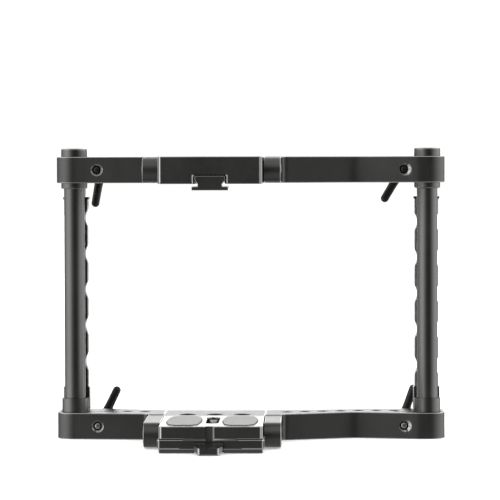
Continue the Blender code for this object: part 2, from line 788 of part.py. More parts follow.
def make_button(finish):
    """The front release button, with its lower corners cut off. A shallow bore behind holds its spring."""
    corner = BUTTON_CHAMFER
    face = [
        (-BUTTON_HALF, BUTTON_TOP_Z),
        (-BUTTON_HALF, BUTTON_LOW_Z + corner),
        (-BUTTON_HALF + corner, BUTTON_LOW_Z),
        (BUTTON_HALF - corner, BUTTON_LOW_Z),
        (BUTTON_HALF, BUTTON_LOW_Z + corner),
        (BUTTON_HALF, BUTTON_TOP_Z),
    ]
    obj = part(
        "release_button",
        finish,
        lambda bm: add_prism(bm, face, BUTTON_FRONT_Y, BUTTON_REAR_Y, "Y"),
        at=(BUTTON_X, 0, 0),
    )
    bore = shape(
        "button_bore",
        lambda bm: add_rod(
            bm,
            BUTTON_BORE_RADIUS,
            BUTTON_REAR_Y - BUTTON_BORE_DEPTH,
            BUTTON_REAR_Y + 1 * MM,
            "Y",
            (BUTTON_X, 0, BUTTON_SPRING_Z),
        ),
    )
    boolean(obj, bore, "DIFFERENCE")
    return obj


def add_coil(bm, coil_radius, wire, low, high, turns, steps=9, sides=5):
    """A helical spring along Y, with flat-cut ends."""
    place = AXIS_MAPS["Y"]
    rings = []
    count = int(turns * steps)
    for k in range(count + 1):
        angle = 2 * math.pi * k / steps
        along = low + wire + (high - low - 2 * wire) * k / count
        ring = []
        for s in range(sides):
            lean = 2 * math.pi * s / sides
            radius = coil_radius + wire * math.cos(lean)
            t = along + wire * math.sin(lean)
            spot = place(radius * math.cos(angle), radius * math.sin(angle), t)
            ring.append(bm.verts.new(Vector(spot)))
        rings.append(ring)
    bridge_rings(bm, rings)


def make_camera_screw(screw_finish, washer_finish):
    """The screw, its retaining ring and the square washer that slides along the plate's slot."""
    head_low = CHANNEL_FLOOR_Z + SCREW_HEAD_LIFT
    head_high = head_low + SCREW_HEAD_THICK
    profile = [
        (0, head_low + SCREW_SOCKET_DEPTH),
        (SCREW_SOCKET_RADIUS, head_low + SCREW_SOCKET_DEPTH),
        (SCREW_SOCKET_RADIUS, head_low),
        (SCREW_HEAD_RADIUS, head_low),
        (SCREW_HEAD_RADIUS, head_high),
        (SCREW_RADIUS, head_high),
        (SCREW_RADIUS, SCREW_TIP_Z - SCREW_CHAMFER),
        (SCREW_RADIUS - SCREW_CHAMFER, SCREW_TIP_Z),
        (0, SCREW_TIP_Z),
    ]
    part(
        "camera_screw",
        screw_finish,
        lambda bm: add_turned(bm, profile, "Z", sides=20),
        at=(0, SCREW_Y, 0),
    )
    ring_low = head_high + GAP
    ring = tube_profile(RING_RADIUS, SCREW_RADIUS + GAP, ring_low, ring_low + RING_THICK)
    part(
        "screw_ring",
        washer_finish,
        lambda bm: add_turned(bm, ring, "Z", sides=20),
        at=(0, SCREW_Y, 0),
    )
    washer_high = KEEL_POCKET_TOP_Z - GAP
    half = WASHER_HALF
    washer_low = washer_high - WASHER_THICK
    washer = part(
        "slot_washer",
        washer_finish,
        lambda bm: add_box(bm, -half, half, -half, half, washer_low, washer_high),
        at=(0, SCREW_Y, 0),
    )
    bore = shape(
        "slot_washer_bore",
        lambda bm: add_rod(bm, SCREW_RADIUS + GAP, washer_low - 1 * MM, washer_high + 1 * MM),
    )
    bore.location = washer.location
    boolean(washer, bore, "DIFFERENCE")


# Shoe foot


def make_shoe_foot(finish):
    """The foot slides along the channel; its flange fits a camera's accessory shoe."""
    head = [
        (-SHOE_NECK_HALF, SHOE_FLANGE_LOW_Z + 1 * MM),
        (SHOE_NECK_HALF, SHOE_FLANGE_LOW_Z + 1 * MM),
        (SHOE_NECK_HALF, TOP_BAR_Z),
        (SHOE_HEAD_HALF, TOP_BAR_Z + SHOE_SHOULDER_RISE),
        (SHOE_HEAD_HALF, SHOE_HEAD_TOP_Z),
        (-SHOE_HEAD_HALF, SHOE_HEAD_TOP_Z),
        (-SHOE_HEAD_HALF, TOP_BAR_Z + SHOE_SHOULDER_RISE),
        (-SHOE_NECK_HALF, TOP_BAR_Z),
    ]
    front = BLOCK_FRONT_Y + SHOE_FRONT_GAP
    obj = part(
        "shoe_foot",
        finish,
        lambda bm: add_prism(bm, head, front, front + SHOE_HEAD_LENGTH, "Y"),
    )
    flange = shape(
        "shoe_flange",
        lambda bm: add_box(
            bm,
            -SHOE_FLANGE_HALF,
            SHOE_FLANGE_HALF,
            front,
            front + SHOE_FLANGE_LENGTH,
            SHOE_FLANGE_LOW_Z,
            SHOE_FLANGE_HIGH_Z,
        ),
    )
    boolean(obj, flange, "UNION")
    return obj


def make_shoe_screw(finish):
    """The set screw that locks the shoe foot, in the upper block."""
    top = TOP_BAR_Z + BAR_THICK - LOCK_SCREW_DROP
    tip = SHOE_CHANNEL_TOP_Z + LOCK_SCREW_PLAY
    profile = [
        (0, tip),
        (LOCK_SCREW_RADIUS, tip),
        (LOCK_SCREW_RADIUS, top),
        (LOCK_SCREW_SOCKET, top),
        (LOCK_SCREW_SOCKET, top - LOCK_SCREW_SOCKET_DEPTH),
        (0, top - LOCK_SCREW_SOCKET_DEPTH),
    ]
    part(
        "shoe_lock_screw",
        finish,
        lambda bm: add_turned(bm, profile, "Z", sides=SMALL_ROUND),
        at=(0, LOCK_Y, 0),
    )


# Side posts


def make_post(side_name, x, anodised, steel):
    """A tube with its two sleeves, its cap and the scalloped bar behind it. The lower sleeve has a floor."""
    at = (x, POST_Y, 0)
    tube_top = POST_TOP_Z - TUBE_TOP_DROP
    walls = tube_profile(TUBE_RADIUS, TUBE_BORE, SLEEVE_FLOOR + GAP, tube_top)
    tube = part(side_name + "_tube", anodised, lambda bm: add_turned(bm, walls), at=at)
    bore = TUBE_RADIUS + GAP
    socket = POST_SOCKET_RADIUS
    foot_profile = [
        (SLEEVE_RADIUS - SLEEVE_CHAMFER, 0),
        (SLEEVE_RADIUS, SLEEVE_CHAMFER),
        (SLEEVE_RADIUS, SLEEVE_LENGTH),
        (bore, SLEEVE_LENGTH),
        (bore, SLEEVE_FLOOR),
        (socket, SLEEVE_FLOOR),
        (socket, 0),
    ]
    part(side_name + "_lower_sleeve", anodised, lambda bm: add_turned(bm, foot_profile), at=at)
    sleeve_profile = tube_profile(SLEEVE_RADIUS, bore, UPPER_SLEEVE_Z, POST_TOP_Z)
    part(side_name + "_upper_sleeve", anodised, lambda bm: add_turned(bm, sleeve_profile), at=at)
    cap_low = POST_TOP_Z + GAP
    cap_high = cap_low + CAP_THICK
    stem = TUBE_BORE - GAP
    cap_profile = [
        (0, tube_top - PLUG_LENGTH),
        (stem, tube_top - PLUG_LENGTH),
        (stem, cap_low),
        (SLEEVE_RADIUS, cap_low),
        (SLEEVE_RADIUS, cap_high - SLEEVE_CHAMFER),
        (SLEEVE_RADIUS - SLEEVE_CHAMFER, cap_high),
        (socket, cap_high),
        (socket, cap_low - CAP_SOCKET_DEPTH),
        (0, cap_low - CAP_SOCKET_DEPTH),
    ]
    part(side_name + "_top_cap", anodised, lambda bm: add_turned(bm, cap_profile), at=at)
    make_side_bar(side_name, x, anodised)
    make_bar_screws(side_name, x, tube, steel)


def side_bar_edge(mid_z):
    """The bar's edge as (half width, height) pairs, upwards: a tongue at each end and scallops between."""
    points = [
        (TONGUE_HALF, TONGUE_LOW_Z),
        (TONGUE_HALF, SIDE_BAR_LOW_Z),
        (SIDE_BAR_END_HALF, SIDE_BAR_LOW_Z),
        (SIDE_BAR_END_HALF, LOWER_END_Z),
        (SIDE_BAR_HALF, LOWER_END_Z + SIDE_BAR_END_HALF - SIDE_BAR_HALF),
    ]
    half_chord = math.sqrt(2 * SCALLOP_RADIUS * SCALLOP_DEPTH - SCALLOP_DEPTH**2)
    reach = math.degrees(math.asin(half_chord / SCALLOP_RADIUS))
    for k in range(SCALLOP_COUNT):
        z = mid_z + (k - (SCALLOP_COUNT - 1) / 2) * SCALLOP_PITCH
        centre = (SIDE_BAR_HALF - SCALLOP_DEPTH + SCALLOP_RADIUS, z)
        points += arc(centre, SCALLOP_RADIUS, 180 + reach, 180 - reach, 6)
    points += [
        (SIDE_BAR_HALF, UPPER_END_Z - SIDE_BAR_END_HALF + SIDE_BAR_HALF),
        (SIDE_BAR_END_HALF, UPPER_END_Z),
        (SIDE_BAR_END_HALF, SIDE_BAR_HIGH_Z),
        (TONGUE_HALF, SIDE_BAR_HIGH_Z),
        (TONGUE_HALF, SIDE_BAR_TOP_Z),
    ]
    return points


def make_side_bar(side_name, x, finish):
    """The bar, with a boss at each screw that stands against the tube."""
    mid_z = SCALLOP_MID_Z[side_name]
    edge = side_bar_edge(mid_z)
    outline = edge + [(-half, z) for half, z in reversed(edge)]
    rear = SIDE_BAR_Y + SIDE_BAR_THICK
    past = 1 * MM
    at = (x, 0, 0)
    obj = part(
        side_name + "_side_bar",
        finish,
        lambda bm: add_prism(bm, outline, SIDE_BAR_Y, rear, "Y"),
        at=at,
    )

    def bosses(bm):
        front = POST_Y + TUBE_RADIUS + GAP
        for z in BAR_SCREW_ZS:
            add_rod(bm, BOSS_RADIUS, front, SIDE_BAR_Y + past, "Y", (0, 0, z))

    def accessory_holes(bm):
        for k in range(SCALLOP_COUNT - 1):
            z = mid_z + (k - (SCALLOP_COUNT - 2) / 2) * SCALLOP_PITCH
            add_rod(bm, HOLE_RADIUS, SIDE_BAR_Y - past, rear + past, "Y", (0, 0, z))

    def screw_bores(bm):
        seat = rear - BAR_SCREW_SINK
        bore = stepped_profile(BAR_SCREW_SHANK, POST_Y, BAR_SCREW_HEAD, seat, rear + past)
        for z in BAR_SCREW_ZS:
            add_turned(bm, bore, "Y", (0, 0, z), SMALL_ROUND)

    helpers = (
        ("bosses", bosses, "UNION"),
        ("holes", accessory_holes, "DIFFERENCE"),
        ("screw_bores", screw_bores, "DIFFERENCE"),
    )
    for name, fill, operation in helpers:
        helper = shape(f"{side_name}_bar_{name}", fill)
        helper.location = at
        boolean(obj, helper, operation)


def make_bar_screws(side_name, x, tube, finish):
    """Two socket screws that hold the bar to the tube, and their holes in the tube."""
    rear = SIDE_BAR_Y + SIDE_BAR_THICK
    start = POST_Y + TUBE_BORE + 0.4 * MM
    seat = rear - BAR_SCREW_SINK + GAP
    socket = BAR_SCREW_SOCKET
    profile = [
        (0, start),
        (BAR_SCREW_SHANK, start),
        (BAR_SCREW_SHANK, seat),
        (BAR_SCREW_HEAD, seat),
        (BAR_SCREW_HEAD, rear - GAP),
        (socket, rear - GAP),
        (socket, seat + BAR_SCREW_WEB),
        (0, seat + BAR_SCREW_WEB),
    ]
    for place, z in zip(("lower", "upper"), BAR_SCREW_ZS):
        part(
            f"{side_name}_{place}_bar_screw",
            finish,
            lambda bm: add_turned(bm, profile, "Y", sides=SMALL_ROUND),
            at=(x, 0, z),
        )

    def tube_holes(bm):
        for z in BAR_SCREW_ZS:
            low = TUBE_BORE - 1.5 * MM
            add_rod(bm, BAR_SCREW_SHANK + GAP, low, TUBE_RADIUS + 1 * MM, "Y", (0, 0, z))

    cutter = shape(side_name + "_tube_holes", tube_holes)
    cutter.location = tube.location
    boolean(tube, cutter, "DIFFERENCE")


# Clamp levers. Each is drawn along its stud's axis, +Y, from the arm's rear face, and placed on that axis.


def make_lever(corner, pivot, front_y, black, steel):
    """A ratchet lever: its stud turns in the arm, and its handle lifts off the spline against a spring."""
    tip = front_y + STUD_TIP_DEPTH - pivot[1]
    stud_profile = [
        (0, tip),
        (STUD_RADIUS - STUD_CHAMFER, tip),
        (STUD_RADIUS, tip + STUD_CHAMFER),
        (STUD_RADIUS, HUB_START),
        (SPLINE_RADIUS, HUB_START),
        (SPLINE_RADIUS, SPLINE_END),
        (STUD_BORE, SPLINE_END),
        (STUD_BORE, HUB_START + STUD_CHAMFER),
        (0, HUB_START + STUD_CHAMFER),
    ]
    part(
        corner + "_stud",
        steel,
        lambda bm: add_turned(bm, stud_profile, "Y", sides=SMALL_ROUND),
        at=pivot,
    )
    washer_bore = STUD_RADIUS + GAP
    washer_profile = tube_profile(CLAMP_WASHER_RADIUS, washer_bore, GAP, HUB_START - GAP)
    part(
        corner + "_washer",
        steel,
        lambda bm: add_turned(bm, washer_profile, "Y", sides=20),
        at=pivot,
    )
    make_handle(corner, pivot, black)
    shank = LEVER_SCREW_SHANK
    head = LEVER_SCREW_RADIUS
    screw_profile = [
        (0, HUB_START + LEVER_SCREW_START),
        (shank, HUB_START + LEVER_SCREW_START),
        (shank, LEVER_SCREW_HEAD),
        (head, LEVER_SCREW_HEAD),
        (head, HUB_END - GAP),
        (shank, HUB_END - GAP),
        (shank, LEVER_SCREW_HEAD + LEVER_SCREW_WEB),
        (0, LEVER_SCREW_HEAD + LEVER_SCREW_WEB),
    ]
    part(
        corner + "_lever_screw",
        steel,
        lambda bm: add_turned(bm, screw_profile, "Y", sides=SMALL_ROUND),
        at=pivot,
    )
    part(
        corner + "_lever_spring",
        steel,
        lambda bm: add_coil(
            bm,
            LEVER_SPRING_RADIUS,
            LEVER_SPRING_WIRE,
            HUB_WEB_END + SPRING_PLAY,
            LEVER_SCREW_HEAD - SPRING_PLAY,
            LEVER_SPRING_TURNS,
        ),
        at=pivot,
    )


def make_handle(corner, pivot, finish):
    """The hub with its socket and the round-tipped handle, pointing up before it is turned."""
    hub_profile = [
        (HUB_RADIUS, HUB_START),
        (HUB_RADIUS, HUB_END - HUB_CHAMFER),
        (HUB_RADIUS - HUB_CHAMFER, HUB_END),
        (HUB_BORE, HUB_END),
        (HUB_BORE, HUB_WEB_END),
        (HUB_WEB_BORE, HUB_WEB_END),
        (HUB_WEB_BORE, HUB_SOCKET_END),
        (HUB_SOCKET_RADIUS, HUB_SOCKET_END),
        (HUB_SOCKET_RADIUS, HUB_START),
    ]
    turn = math.radians(LEVER_ANGLES[corner])
    obj = part(
        corner + "_handle",
        finish,
        lambda bm: add_turned(bm, hub_profile, "Y", sides=20),
        at=pivot,
        turn_y=turn,
    )
    tip = 0.5 * LEVER_WIDTH
    root = 0.5 * LEVER_ROOT_WIDTH
    straight = LEVER_LENGTH - tip
    profile = [(0, GRIP_START), (root, GRIP_START), (tip, straight)]
    profile += [
        (tip * math.cos(math.radians(a)), straight + tip * math.sin(math.radians(a)))
        for a in (30, 60)
    ]
    profile.append((0, LEVER_LENGTH))
    mid_y = 0.5 * (HUB_START + HUB_END)
    grip = shape(
        corner + "_grip", lambda bm: add_turned(bm, profile, "Z", (0, mid_y, 0), 12)
    )
    grip.location = pivot
    grip.rotation_euler = (0, turn, 0)
    boolean(obj, grip, "UNION")


def build():
    clear_scene()
    anodised = material("anodised_black", (0.030, 0.030, 0.031), 0.38, 0.85)
    plate_black = material("plate_black", (0.028, 0.028, 0.030), 0.42, 0.8)
    steel = material("black_steel", (0.16, 0.16, 0.165), 0.35, 0.9)
    lever_black = material("lever_black", (0.012, 0.012, 0.013), 0.45, 0.2)
    rubber = material("grey_rubber", (0.06, 0.06, 0.06), 0.85, 0.0)
    mid_z = 0.5 * BAR_THICK
    top_screw_z = mid_z + TOP_LEG_SCREW_RISE
    levels = (
        ("base", 0.0, (LOW_LEG_SCREW_Z, mid_z)),
        ("top", TOP_BAR_Z, (top_screw_z, top_screw_z)),
    )
    for level, z, screw_zs in levels:
        for side_name, (side, reach, root_y, folded, _) in ARMS.items():
            make_arm(level, side_name, anodised, z, screw_zs)
            stud_reach = reach - STUD_OFFSET
            front_y = arm_front(stud_reach, reach, root_y, folded)
            pivot = (side * stud_reach, ARM_FRONT_Y + ARM_DEPTH, z + mid_z)
            make_lever(f"{level}_{side_name}", pivot, front_y, lever_black, steel)
            make_leg_screws(level, side_name, side, steel, screw_zs, z)
    make_base_block(anodised, levels[0][2])
    make_top_block(anodised, levels[1][2])
    make_shoe_foot(anodised)
    make_shoe_screw(steel)
    make_camera_plate(plate_black)
    for side_name, side in (("left", -1), ("right", 1)):
        part(
            f"{side_name}_pad",
            rubber,
            lambda bm: add_prism(
                bm,
                pad_outline(side),
                BAR_THICK - PAD_SINK + GAP,
                BAR_THICK + PAD_PROUD,
            ),
        )
    make_button(anodised)
    part(
        "button_spring",
        steel,
        lambda bm: add_coil(
            bm,
            BUTTON_SPRING_RADIUS,
            BUTTON_SPRING_WIRE,
            BUTTON_REAR_Y - BUTTON_BORE_DEPTH + BUTTON_SPRING_PLAY,
            BUTTON_POCKET_REAR_Y - GAP,
            BUTTON_SPRING_TURNS,
            8,
            4,
        ),
        at=(BUTTON_X, 0, BUTTON_SPRING_Z),
    )
    make_camera_screw(steel, steel)
    make_post("left", -LEFT_REACH, anodised, steel)
    make_post("right", RIGHT_REACH, anodised, steel)


build()
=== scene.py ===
"""The looks of the camera cage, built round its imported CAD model. Metres, +Z up, in the CAD's own
frame: the origin is the middle of the base's underside, below the camera plate's slot, and -Y is
the front."""

import json
import math

import bmesh
import bpy
from mathutils import Matrix, Vector

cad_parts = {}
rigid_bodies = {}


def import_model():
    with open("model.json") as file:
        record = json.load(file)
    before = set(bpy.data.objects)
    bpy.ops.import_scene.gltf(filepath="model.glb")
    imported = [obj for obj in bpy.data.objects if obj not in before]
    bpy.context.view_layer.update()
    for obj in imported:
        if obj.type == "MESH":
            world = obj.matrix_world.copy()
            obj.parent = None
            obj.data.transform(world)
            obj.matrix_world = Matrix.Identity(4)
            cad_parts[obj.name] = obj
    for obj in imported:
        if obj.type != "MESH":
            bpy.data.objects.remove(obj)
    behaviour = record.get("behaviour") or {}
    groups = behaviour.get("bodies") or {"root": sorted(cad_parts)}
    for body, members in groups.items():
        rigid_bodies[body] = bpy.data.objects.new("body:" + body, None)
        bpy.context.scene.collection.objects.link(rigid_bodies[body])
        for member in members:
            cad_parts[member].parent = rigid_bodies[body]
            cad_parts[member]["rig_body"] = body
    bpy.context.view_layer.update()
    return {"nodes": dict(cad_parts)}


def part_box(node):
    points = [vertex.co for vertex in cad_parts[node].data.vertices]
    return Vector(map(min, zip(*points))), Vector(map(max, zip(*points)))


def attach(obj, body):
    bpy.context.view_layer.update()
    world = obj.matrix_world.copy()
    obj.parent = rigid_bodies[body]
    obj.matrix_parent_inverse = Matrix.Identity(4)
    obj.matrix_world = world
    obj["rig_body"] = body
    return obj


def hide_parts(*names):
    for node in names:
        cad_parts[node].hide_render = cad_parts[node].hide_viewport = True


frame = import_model()

MM = 0.001
PAST = 1 * MM  # how far a cutter runs past the face it cuts
ROUND = 96  # sides of a large turned piece
SMALL_ROUND = 40  # sides of a hole or a small turned piece
CORNER_STEPS = 14  # points round a corner of an outline
EDGE = 0.45 * MM  # width of the rounded edges of the large machined pieces
LEG_EDGE = 0.36 * MM
BAR_EDGE = 0.4 * MM
FINE_EDGE = 0.25 * MM
BEVEL_ANGLE = math.radians(32)  # edges sharper than this are rounded
GAP = 0.3 * MM  # between neighbouring CAD parts
SNUG = 0.02 * MM  # between pieces screwed together
# In the metal finishes the rim faces take a lighter colour, a painted highlight, and the faces inside
# holes a darker one, painted shade.
PLAIN, RIM, BORE = 0, 1, 2  # material indices: faces, edges and the mouths of holes, and inside holes


# Places, from the CAD's boxes


def low(node):
    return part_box(node)[0]


def high(node):
    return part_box(node)[1]


def middle(node):
    return (low(node) + high(node)) / 2


BAR_THICK = high("base_left_arm").z - low("base_left_arm").z
LEVEL_Z = {"base": low("base_left_arm").z, "top": low("top_left_arm").z}
POST_Y = middle("left_tube").y
ARM_REAR_Y = high("base_left_arm").y
LEG_INNER_X = low("base_right_arm").x
LEG_FRONT_Y = low("base_right_arm").y
BLOCK_HALF = high("top_block").x
BLOCK_FRONT_Y = low("top_block").y
BLOCK_REAR_Y = high("top_block").y

# Crossbar arms
ARM_DEPTH = 27 * MM  # front to back at a post
ARM_FRONT_Y = ARM_REAR_Y - ARM_DEPTH
ARM_REAR_CORNER = 6 * MM
ARM_REAR_PAD = 20 * MM  # length of the straight part of the back at a post
LEG_WIDTH = 8.7 * MM
LEG_OUTER_X = LEG_INNER_X + LEG_WIDTH
LEG_RECESS = 0.5 * MM  # a leg is this much thinner than its arm at the top and bottom
LEG_OVERLAP = 6 * MM  # how far a leg runs into its arm
LEG_FILLET = 3 * MM
HOLE_FIRST_X = 38 * MM
HOLE_PITCH = 9.6 * MM
ARMS = {  # side of the centre, front edge's Y at the leg, folded front, number of accessory holes
    "left": (-1, ARM_FRONT_Y - 2.5 * MM, False, 3),
    "right": (1, ARM_FRONT_Y - 6 * MM, True, 7),
}
FOLD_BACK_SLOPE = 0.33  # the long arm's front runs back from its leg
FOLD_FORWARD_SLOPE = 0.2  # and forward again to its post
FOLD_END = 5 * MM  # from the post's axis
FOLD_ROUNDING = 0.6 * MM
ARM_FRONT_END = 2 * MM  # the front's straight part ends this far before the post's axis
CLAMP_SLIT = 1.2 * MM
CLAMP_SLIT_START = 6 * MM  # from the post's axis
CLAMP_SLIT_REACH = 16.5 * MM
SLEEVE_CLEARANCE = 0.2 * MM
CLAMP_MOUTH = 0.4 * MM
TONGUE_SLOT_HALF = 5.3 * MM
BOSS_LENGTH = 2.7 * MM  # from a side bar to its tube
STUD_BORE = 2.3 * MM
STUD_MOUTH = 0.9 * MM
LEG_SCREW_BORE = 3.1 * MM
LEG_SCREW_DEPTH = 2.6 * MM
LEG_SCREW_MOUTH = 0.35 * MM

# Centre blocks and camera plate
SOCKETS_X = (-14.4 * MM, 0, 14.4 * MM)
FRONT_CHAMFER = 1.2 * MM
KEEL_HEIGHT = 4.6 * MM
KEEL_LOW = low("camera_plate").z
PLATE_LOW = KEEL_LOW + KEEL_HEIGHT
JAW_TOP = PLATE_LOW - GAP
CHANNEL_FLOOR = KEEL_LOW - GAP
CHANNEL_HALF = 16 * MM  # at the floor
CHANNEL_NARROWING = 2 / 4.6
KEEL_PLAY = 0.04 * MM
BUTTON_PLAY = 0.08 * MM
BUTTON_POCKET_REAR_Y = -20.6 * MM

# Threads: crest radius, groove radius and pitch
SMALL_THREAD = (2.6 * MM, 3.0 * MM, 1.27 * MM)
LARGE_THREAD = (4.15 * MM, 4.6 * MM, 1.59 * MM)
CREST_END, GROOVE_START, GROOVE_END = 0.15, 0.5, 0.6  # shares of a pitch
MOUTH = 0.3 * MM  # how far a hole's chamfer runs down and out
FLARE = 1.5  # how much wider a hexagonal socket's cutter is past its mouth


# Mesh tools

AXIS_MAPS = {
    "X": lambda a, b, t: (t, a, b),
    "Y": lambda a, b, t: (a, t, b),
    "Z": lambda a, b, t: (a, b, t),
}


def bridge_rings(bm, rings, indices=None, caps=True):
    """Quads between rings of equal length, and a face at each end."""
    for n, (a, b) in enumerate(zip(rings, rings[1:])):
        for i in range(len(a)):
            j = (i + 1) % len(a)
            face = bm.faces.new((a[i], a[j], b[j], b[i]))
            face.material_index = indices[n] if indices else PLAIN
    if caps:
        bm.faces.new(rings[0][::-1])
        bm.faces.new(rings[-1])


def add_loft(bm, layers, axis="Z"):
    """A closed body through layers of (outline, distance along the axis, material index of the
    faces below)."""
    place = AXIS_MAPS[axis]
    rings = [[bm.verts.new(place(a, b, t)) for a, b in outline] for outline, t, _ in layers]
    bridge_rings(bm, rings, [index for _, _, index in layers[1:]])


def add_prism(bm, outline, start, end, axis="Z"):
    add_loft(bm, [(outline, start, PLAIN), (outline, end, PLAIN)], axis)


def add_turned(bm, profile, axis="Z", centre=(0, 0, 0), sides=ROUND):
    """A turned body: profile is (radius, distance along the axis, material index of the faces after
    it), closed if its ends aren't on the axis."""
    place = AXIS_MAPS[axis]
    centre = Vector(centre)
    rings = []
    for radius, along, *_ in profile:
        count = sides if radius > 0 else 1
        ring = []
        for k in range(count):
            angle = 2 * math.pi * k / sides
            spot = place(radius * math.cos(angle), radius * math.sin(angle), along)
            ring.append(bm.verts.new(centre + Vector(spot)))
        rings.append(ring)
    steps = list(range(len(rings) - 1))
    if profile[0][0] > 0:
        steps.append(len(rings) - 1)
    for n in steps:
        a, b = rings[n], rings[(n + 1) % len(rings)]
        index = profile[n][2] if len(profile[n]) > 2 else PLAIN
        for k in range(sides):
            j = (k + 1) % sides
            corners = [a[k % len(a)], a[j % len(a)], b[j % len(b)], b[k % len(b)]]
            face = bm.faces.new(list(dict.fromkeys(corners)))
            face.material_index = index


def add_rod(bm, radius, start, end, axis="Z", centre=(0, 0, 0), sides=SMALL_ROUND):
    add_turned(bm, [(0, start), (radius, start), (radius, end), (0, end)], axis, centre, sides)


def mirrored(points):
    """An outline from its half on the positive side."""
    return points + [(-a, b) for a, b in reversed(points)]


def box_outline(a_low, a_high, b_low, b_high):
    return [(a_low, b_low), (a_high, b_low), (a_high, b_high), (a_low, b_high)]


def add_box(bm, x, y, z):
    """A box between three (low, high) pairs."""
    add_prism(bm, box_outline(*x, *y), *z)


def arc(centre, radius, start, end, steps=CORNER_STEPS):
    """Points from angle start to angle end, in degrees."""
    points = []
    for k in range(steps + 1):
        angle = math.radians(start + (end - start) * k / steps)
        points.append((centre[0] + radius * math.cos(angle), centre[1] + radius * math.sin(angle)))
    return points


def grown(outline, distance):
    """The outline moved outwards; it runs anticlockwise."""
    moved = []
    count = len(outline)
    for k in range(count):
        before, here, after = (Vector(outline[(k + s) % count]) for s in (-1, 0, 1))
        out = Vector((0.0, 0.0))
        for edge in (here - before, after - here):
            if edge.length > 1e-9:
                out += Vector((edge.y, -edge.x)).normalized()
        out.normalize()
        moved.append(tuple(here + out * distance))
    return moved


def hexagon(across_flats):
    radius = across_flats / math.sqrt(3)
    return arc((0, 0), radius, 0, 300, 5)


def threaded_bore(bm, thread, start, end, centre, axis="Z"):
    """A cutter for a tapped hole with a chamfered mouth at both ends."""
    crest, groove, pitch = thread
    mouth = groove + MOUTH
    profile = [(0, start - PAST), (mouth + PAST, start - PAST, RIM), (groove, start + MOUTH, BORE)]
    count = int((end - start - 2 * MOUTH) / pitch)
    first = (start + end - count * pitch) / 2
    for k in range(count):
        along = first + k * pitch
        profile += [(crest, along, BORE), (crest, along + CREST_END * pitch, BORE)]
        profile += [(groove, along + share * pitch, BORE) for share in (GROOVE_START, GROOVE_END)]
    profile += [(crest, first + count * pitch, BORE), (groove, end - MOUTH, RIM)]
    profile += [(mouth + PAST, end + PAST), (0, end + PAST)]
    add_turned(bm, profile, axis, centre, SMALL_ROUND)


def plain_bore(bm, radius, start, end, centre, axis="Z", mouth=MOUTH, sides=SMALL_ROUND):
    """A cutter for a plain hole with a chamfered mouth at both ends."""
    profile = [
        (0, start - PAST),
        (radius + mouth + PAST, start - PAST, RIM),
        (radius, start + mouth, BORE),
        (radius, end - mouth, RIM),
        (radius + mouth + PAST, end + PAST),
        (0, end + PAST),
    ]
    add_turned(bm, profile, axis, centre, sides)


def mouthed(radius, face, outward, mouth):
    """The end of a cutter's profile where it leaves a face, with a chamfer."""
    past = face + outward * PAST
    return [(radius, face - outward * mouth, RIM), (radius + mouth + PAST, past), (0, past)]


def add_hex_socket(bm, axis, centre, face, outward, flats, depth, mouth):
    """A cutter for a hexagonal socket in a face, with a chamfered mouth."""
    across = [centre[k] for k in range(3) if k != "XYZ".index(axis)]
    narrow, wide = (
        [(scale * a + across[0], scale * b + across[1]) for a, b in hexagon(flats)]
        for scale in (1, FLARE)
    )
    layers = [
        (narrow, face - outward * depth, PLAIN),
        (narrow, face - outward * mouth, PLAIN),
        (wide, face + outward * 0.25 * flats, RIM),
    ]
    add_loft(bm, layers, axis)


# Objects


def add_object(name, data):
    made = bpy.data.objects.new(name, data)
    bpy.context.scene.collection.objects.link(made)
    return made


def solid(name, finish, *fills, bevel=0.0, at=(0, 0, 0), turn_y=0.0, segments=3):
    """An object holding every body that the fills add. A bevel rounds its edges and gives them the
    rim material, which in the metal finishes is a lighter colour painted as a highlight."""
    bm = bmesh.new()
    for fill in fills:
        fill(bm)
    bmesh.ops.recalc_face_normals(bm, faces=bm.faces)
    mesh = bpy.data.meshes.new(name)
    bm.to_mesh(mesh)
    bm.free()
    for each in finish:
        mesh.materials.append(each)
    obj = add_object(name, mesh)
    obj.location = at
    obj.rotation_euler = (0, turn_y, 0)
    if bevel:
        modifier = obj.modifiers.new("edges", "BEVEL")
        modifier.width = bevel
        modifier.segments = segments
        modifier.limit_method = "ANGLE"
        modifier.angle_limit = BEVEL_ANGLE
        modifier.use_clamp_overlap = False
        modifier.material = RIM
    return obj


def cutters(node, finish, *fills):
    return [solid(f"{node}_{fill.__name__}", finish, fill) for fill in fills]


def piece(node, slot, finish, body, joins=(), cuts=(), crease=38, **how):
    """Joins and cuts the body, and makes of it the piece that stands for a CAD node and rides on
    its body."""
    base = solid(node + "_look", finish, body, **how)
    helpers = [(other, "UNION") for other in joins] + [(other, "DIFFERENCE") for other in cuts]
    for other, operation in helpers:
        modifier = base.modifiers.new(other.name, "BOOLEAN")
        modifier.operation = operation
        modifier.object = other
        modifier.solver = "EXACT"
    bpy.context.view_layer.update()
    graph = bpy.context.evaluated_depsgraph_get()
    mesh = bpy.data.meshes.new_from_object(base.evaluated_get(graph))
    mesh.transform(base.matrix_world)
    made = add_object(node + "_v", mesh)
    for other in [base] + [helper for helper, _ in helpers]:
        bpy.data.objects.remove(other, do_unlink=True)
    mesh.shade_smooth()
    mesh.set_sharp_from_angle(angle=math.radians(crease))
    normals = made.modifiers.new("normals", "WEIGHTED_NORMAL")
    normals.keep_sharp = True
    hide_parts(node)
    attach(made, frame["nodes"][node]["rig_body"])


# Materials

METAL, DIELECTRIC = 1.0, 0.0
NOISE_LOW, NOISE_HIGH = 0.3, 0.7  # most of a noise's values lie between these
BROAD_SIZE, BROAD_DETAIL = 28 * MM, 3  # slow changes of tone
MARK_SIZE, MARK_DETAIL = 3.5 * MM, 5  # handling marks
GRAIN_DETAIL = 2
BROAD_SHARE = 0.6  # of the change in colour; the grain makes the rest
GRAIN_DEPTH = 0.25  # of the grain's size


def set_inputs(node, **values):
    """Puts constants on a node's inputs; an underscore stands for a space."""
    for name, value in values.items():
        node.inputs[name.replace("_", " ")].default_value = value


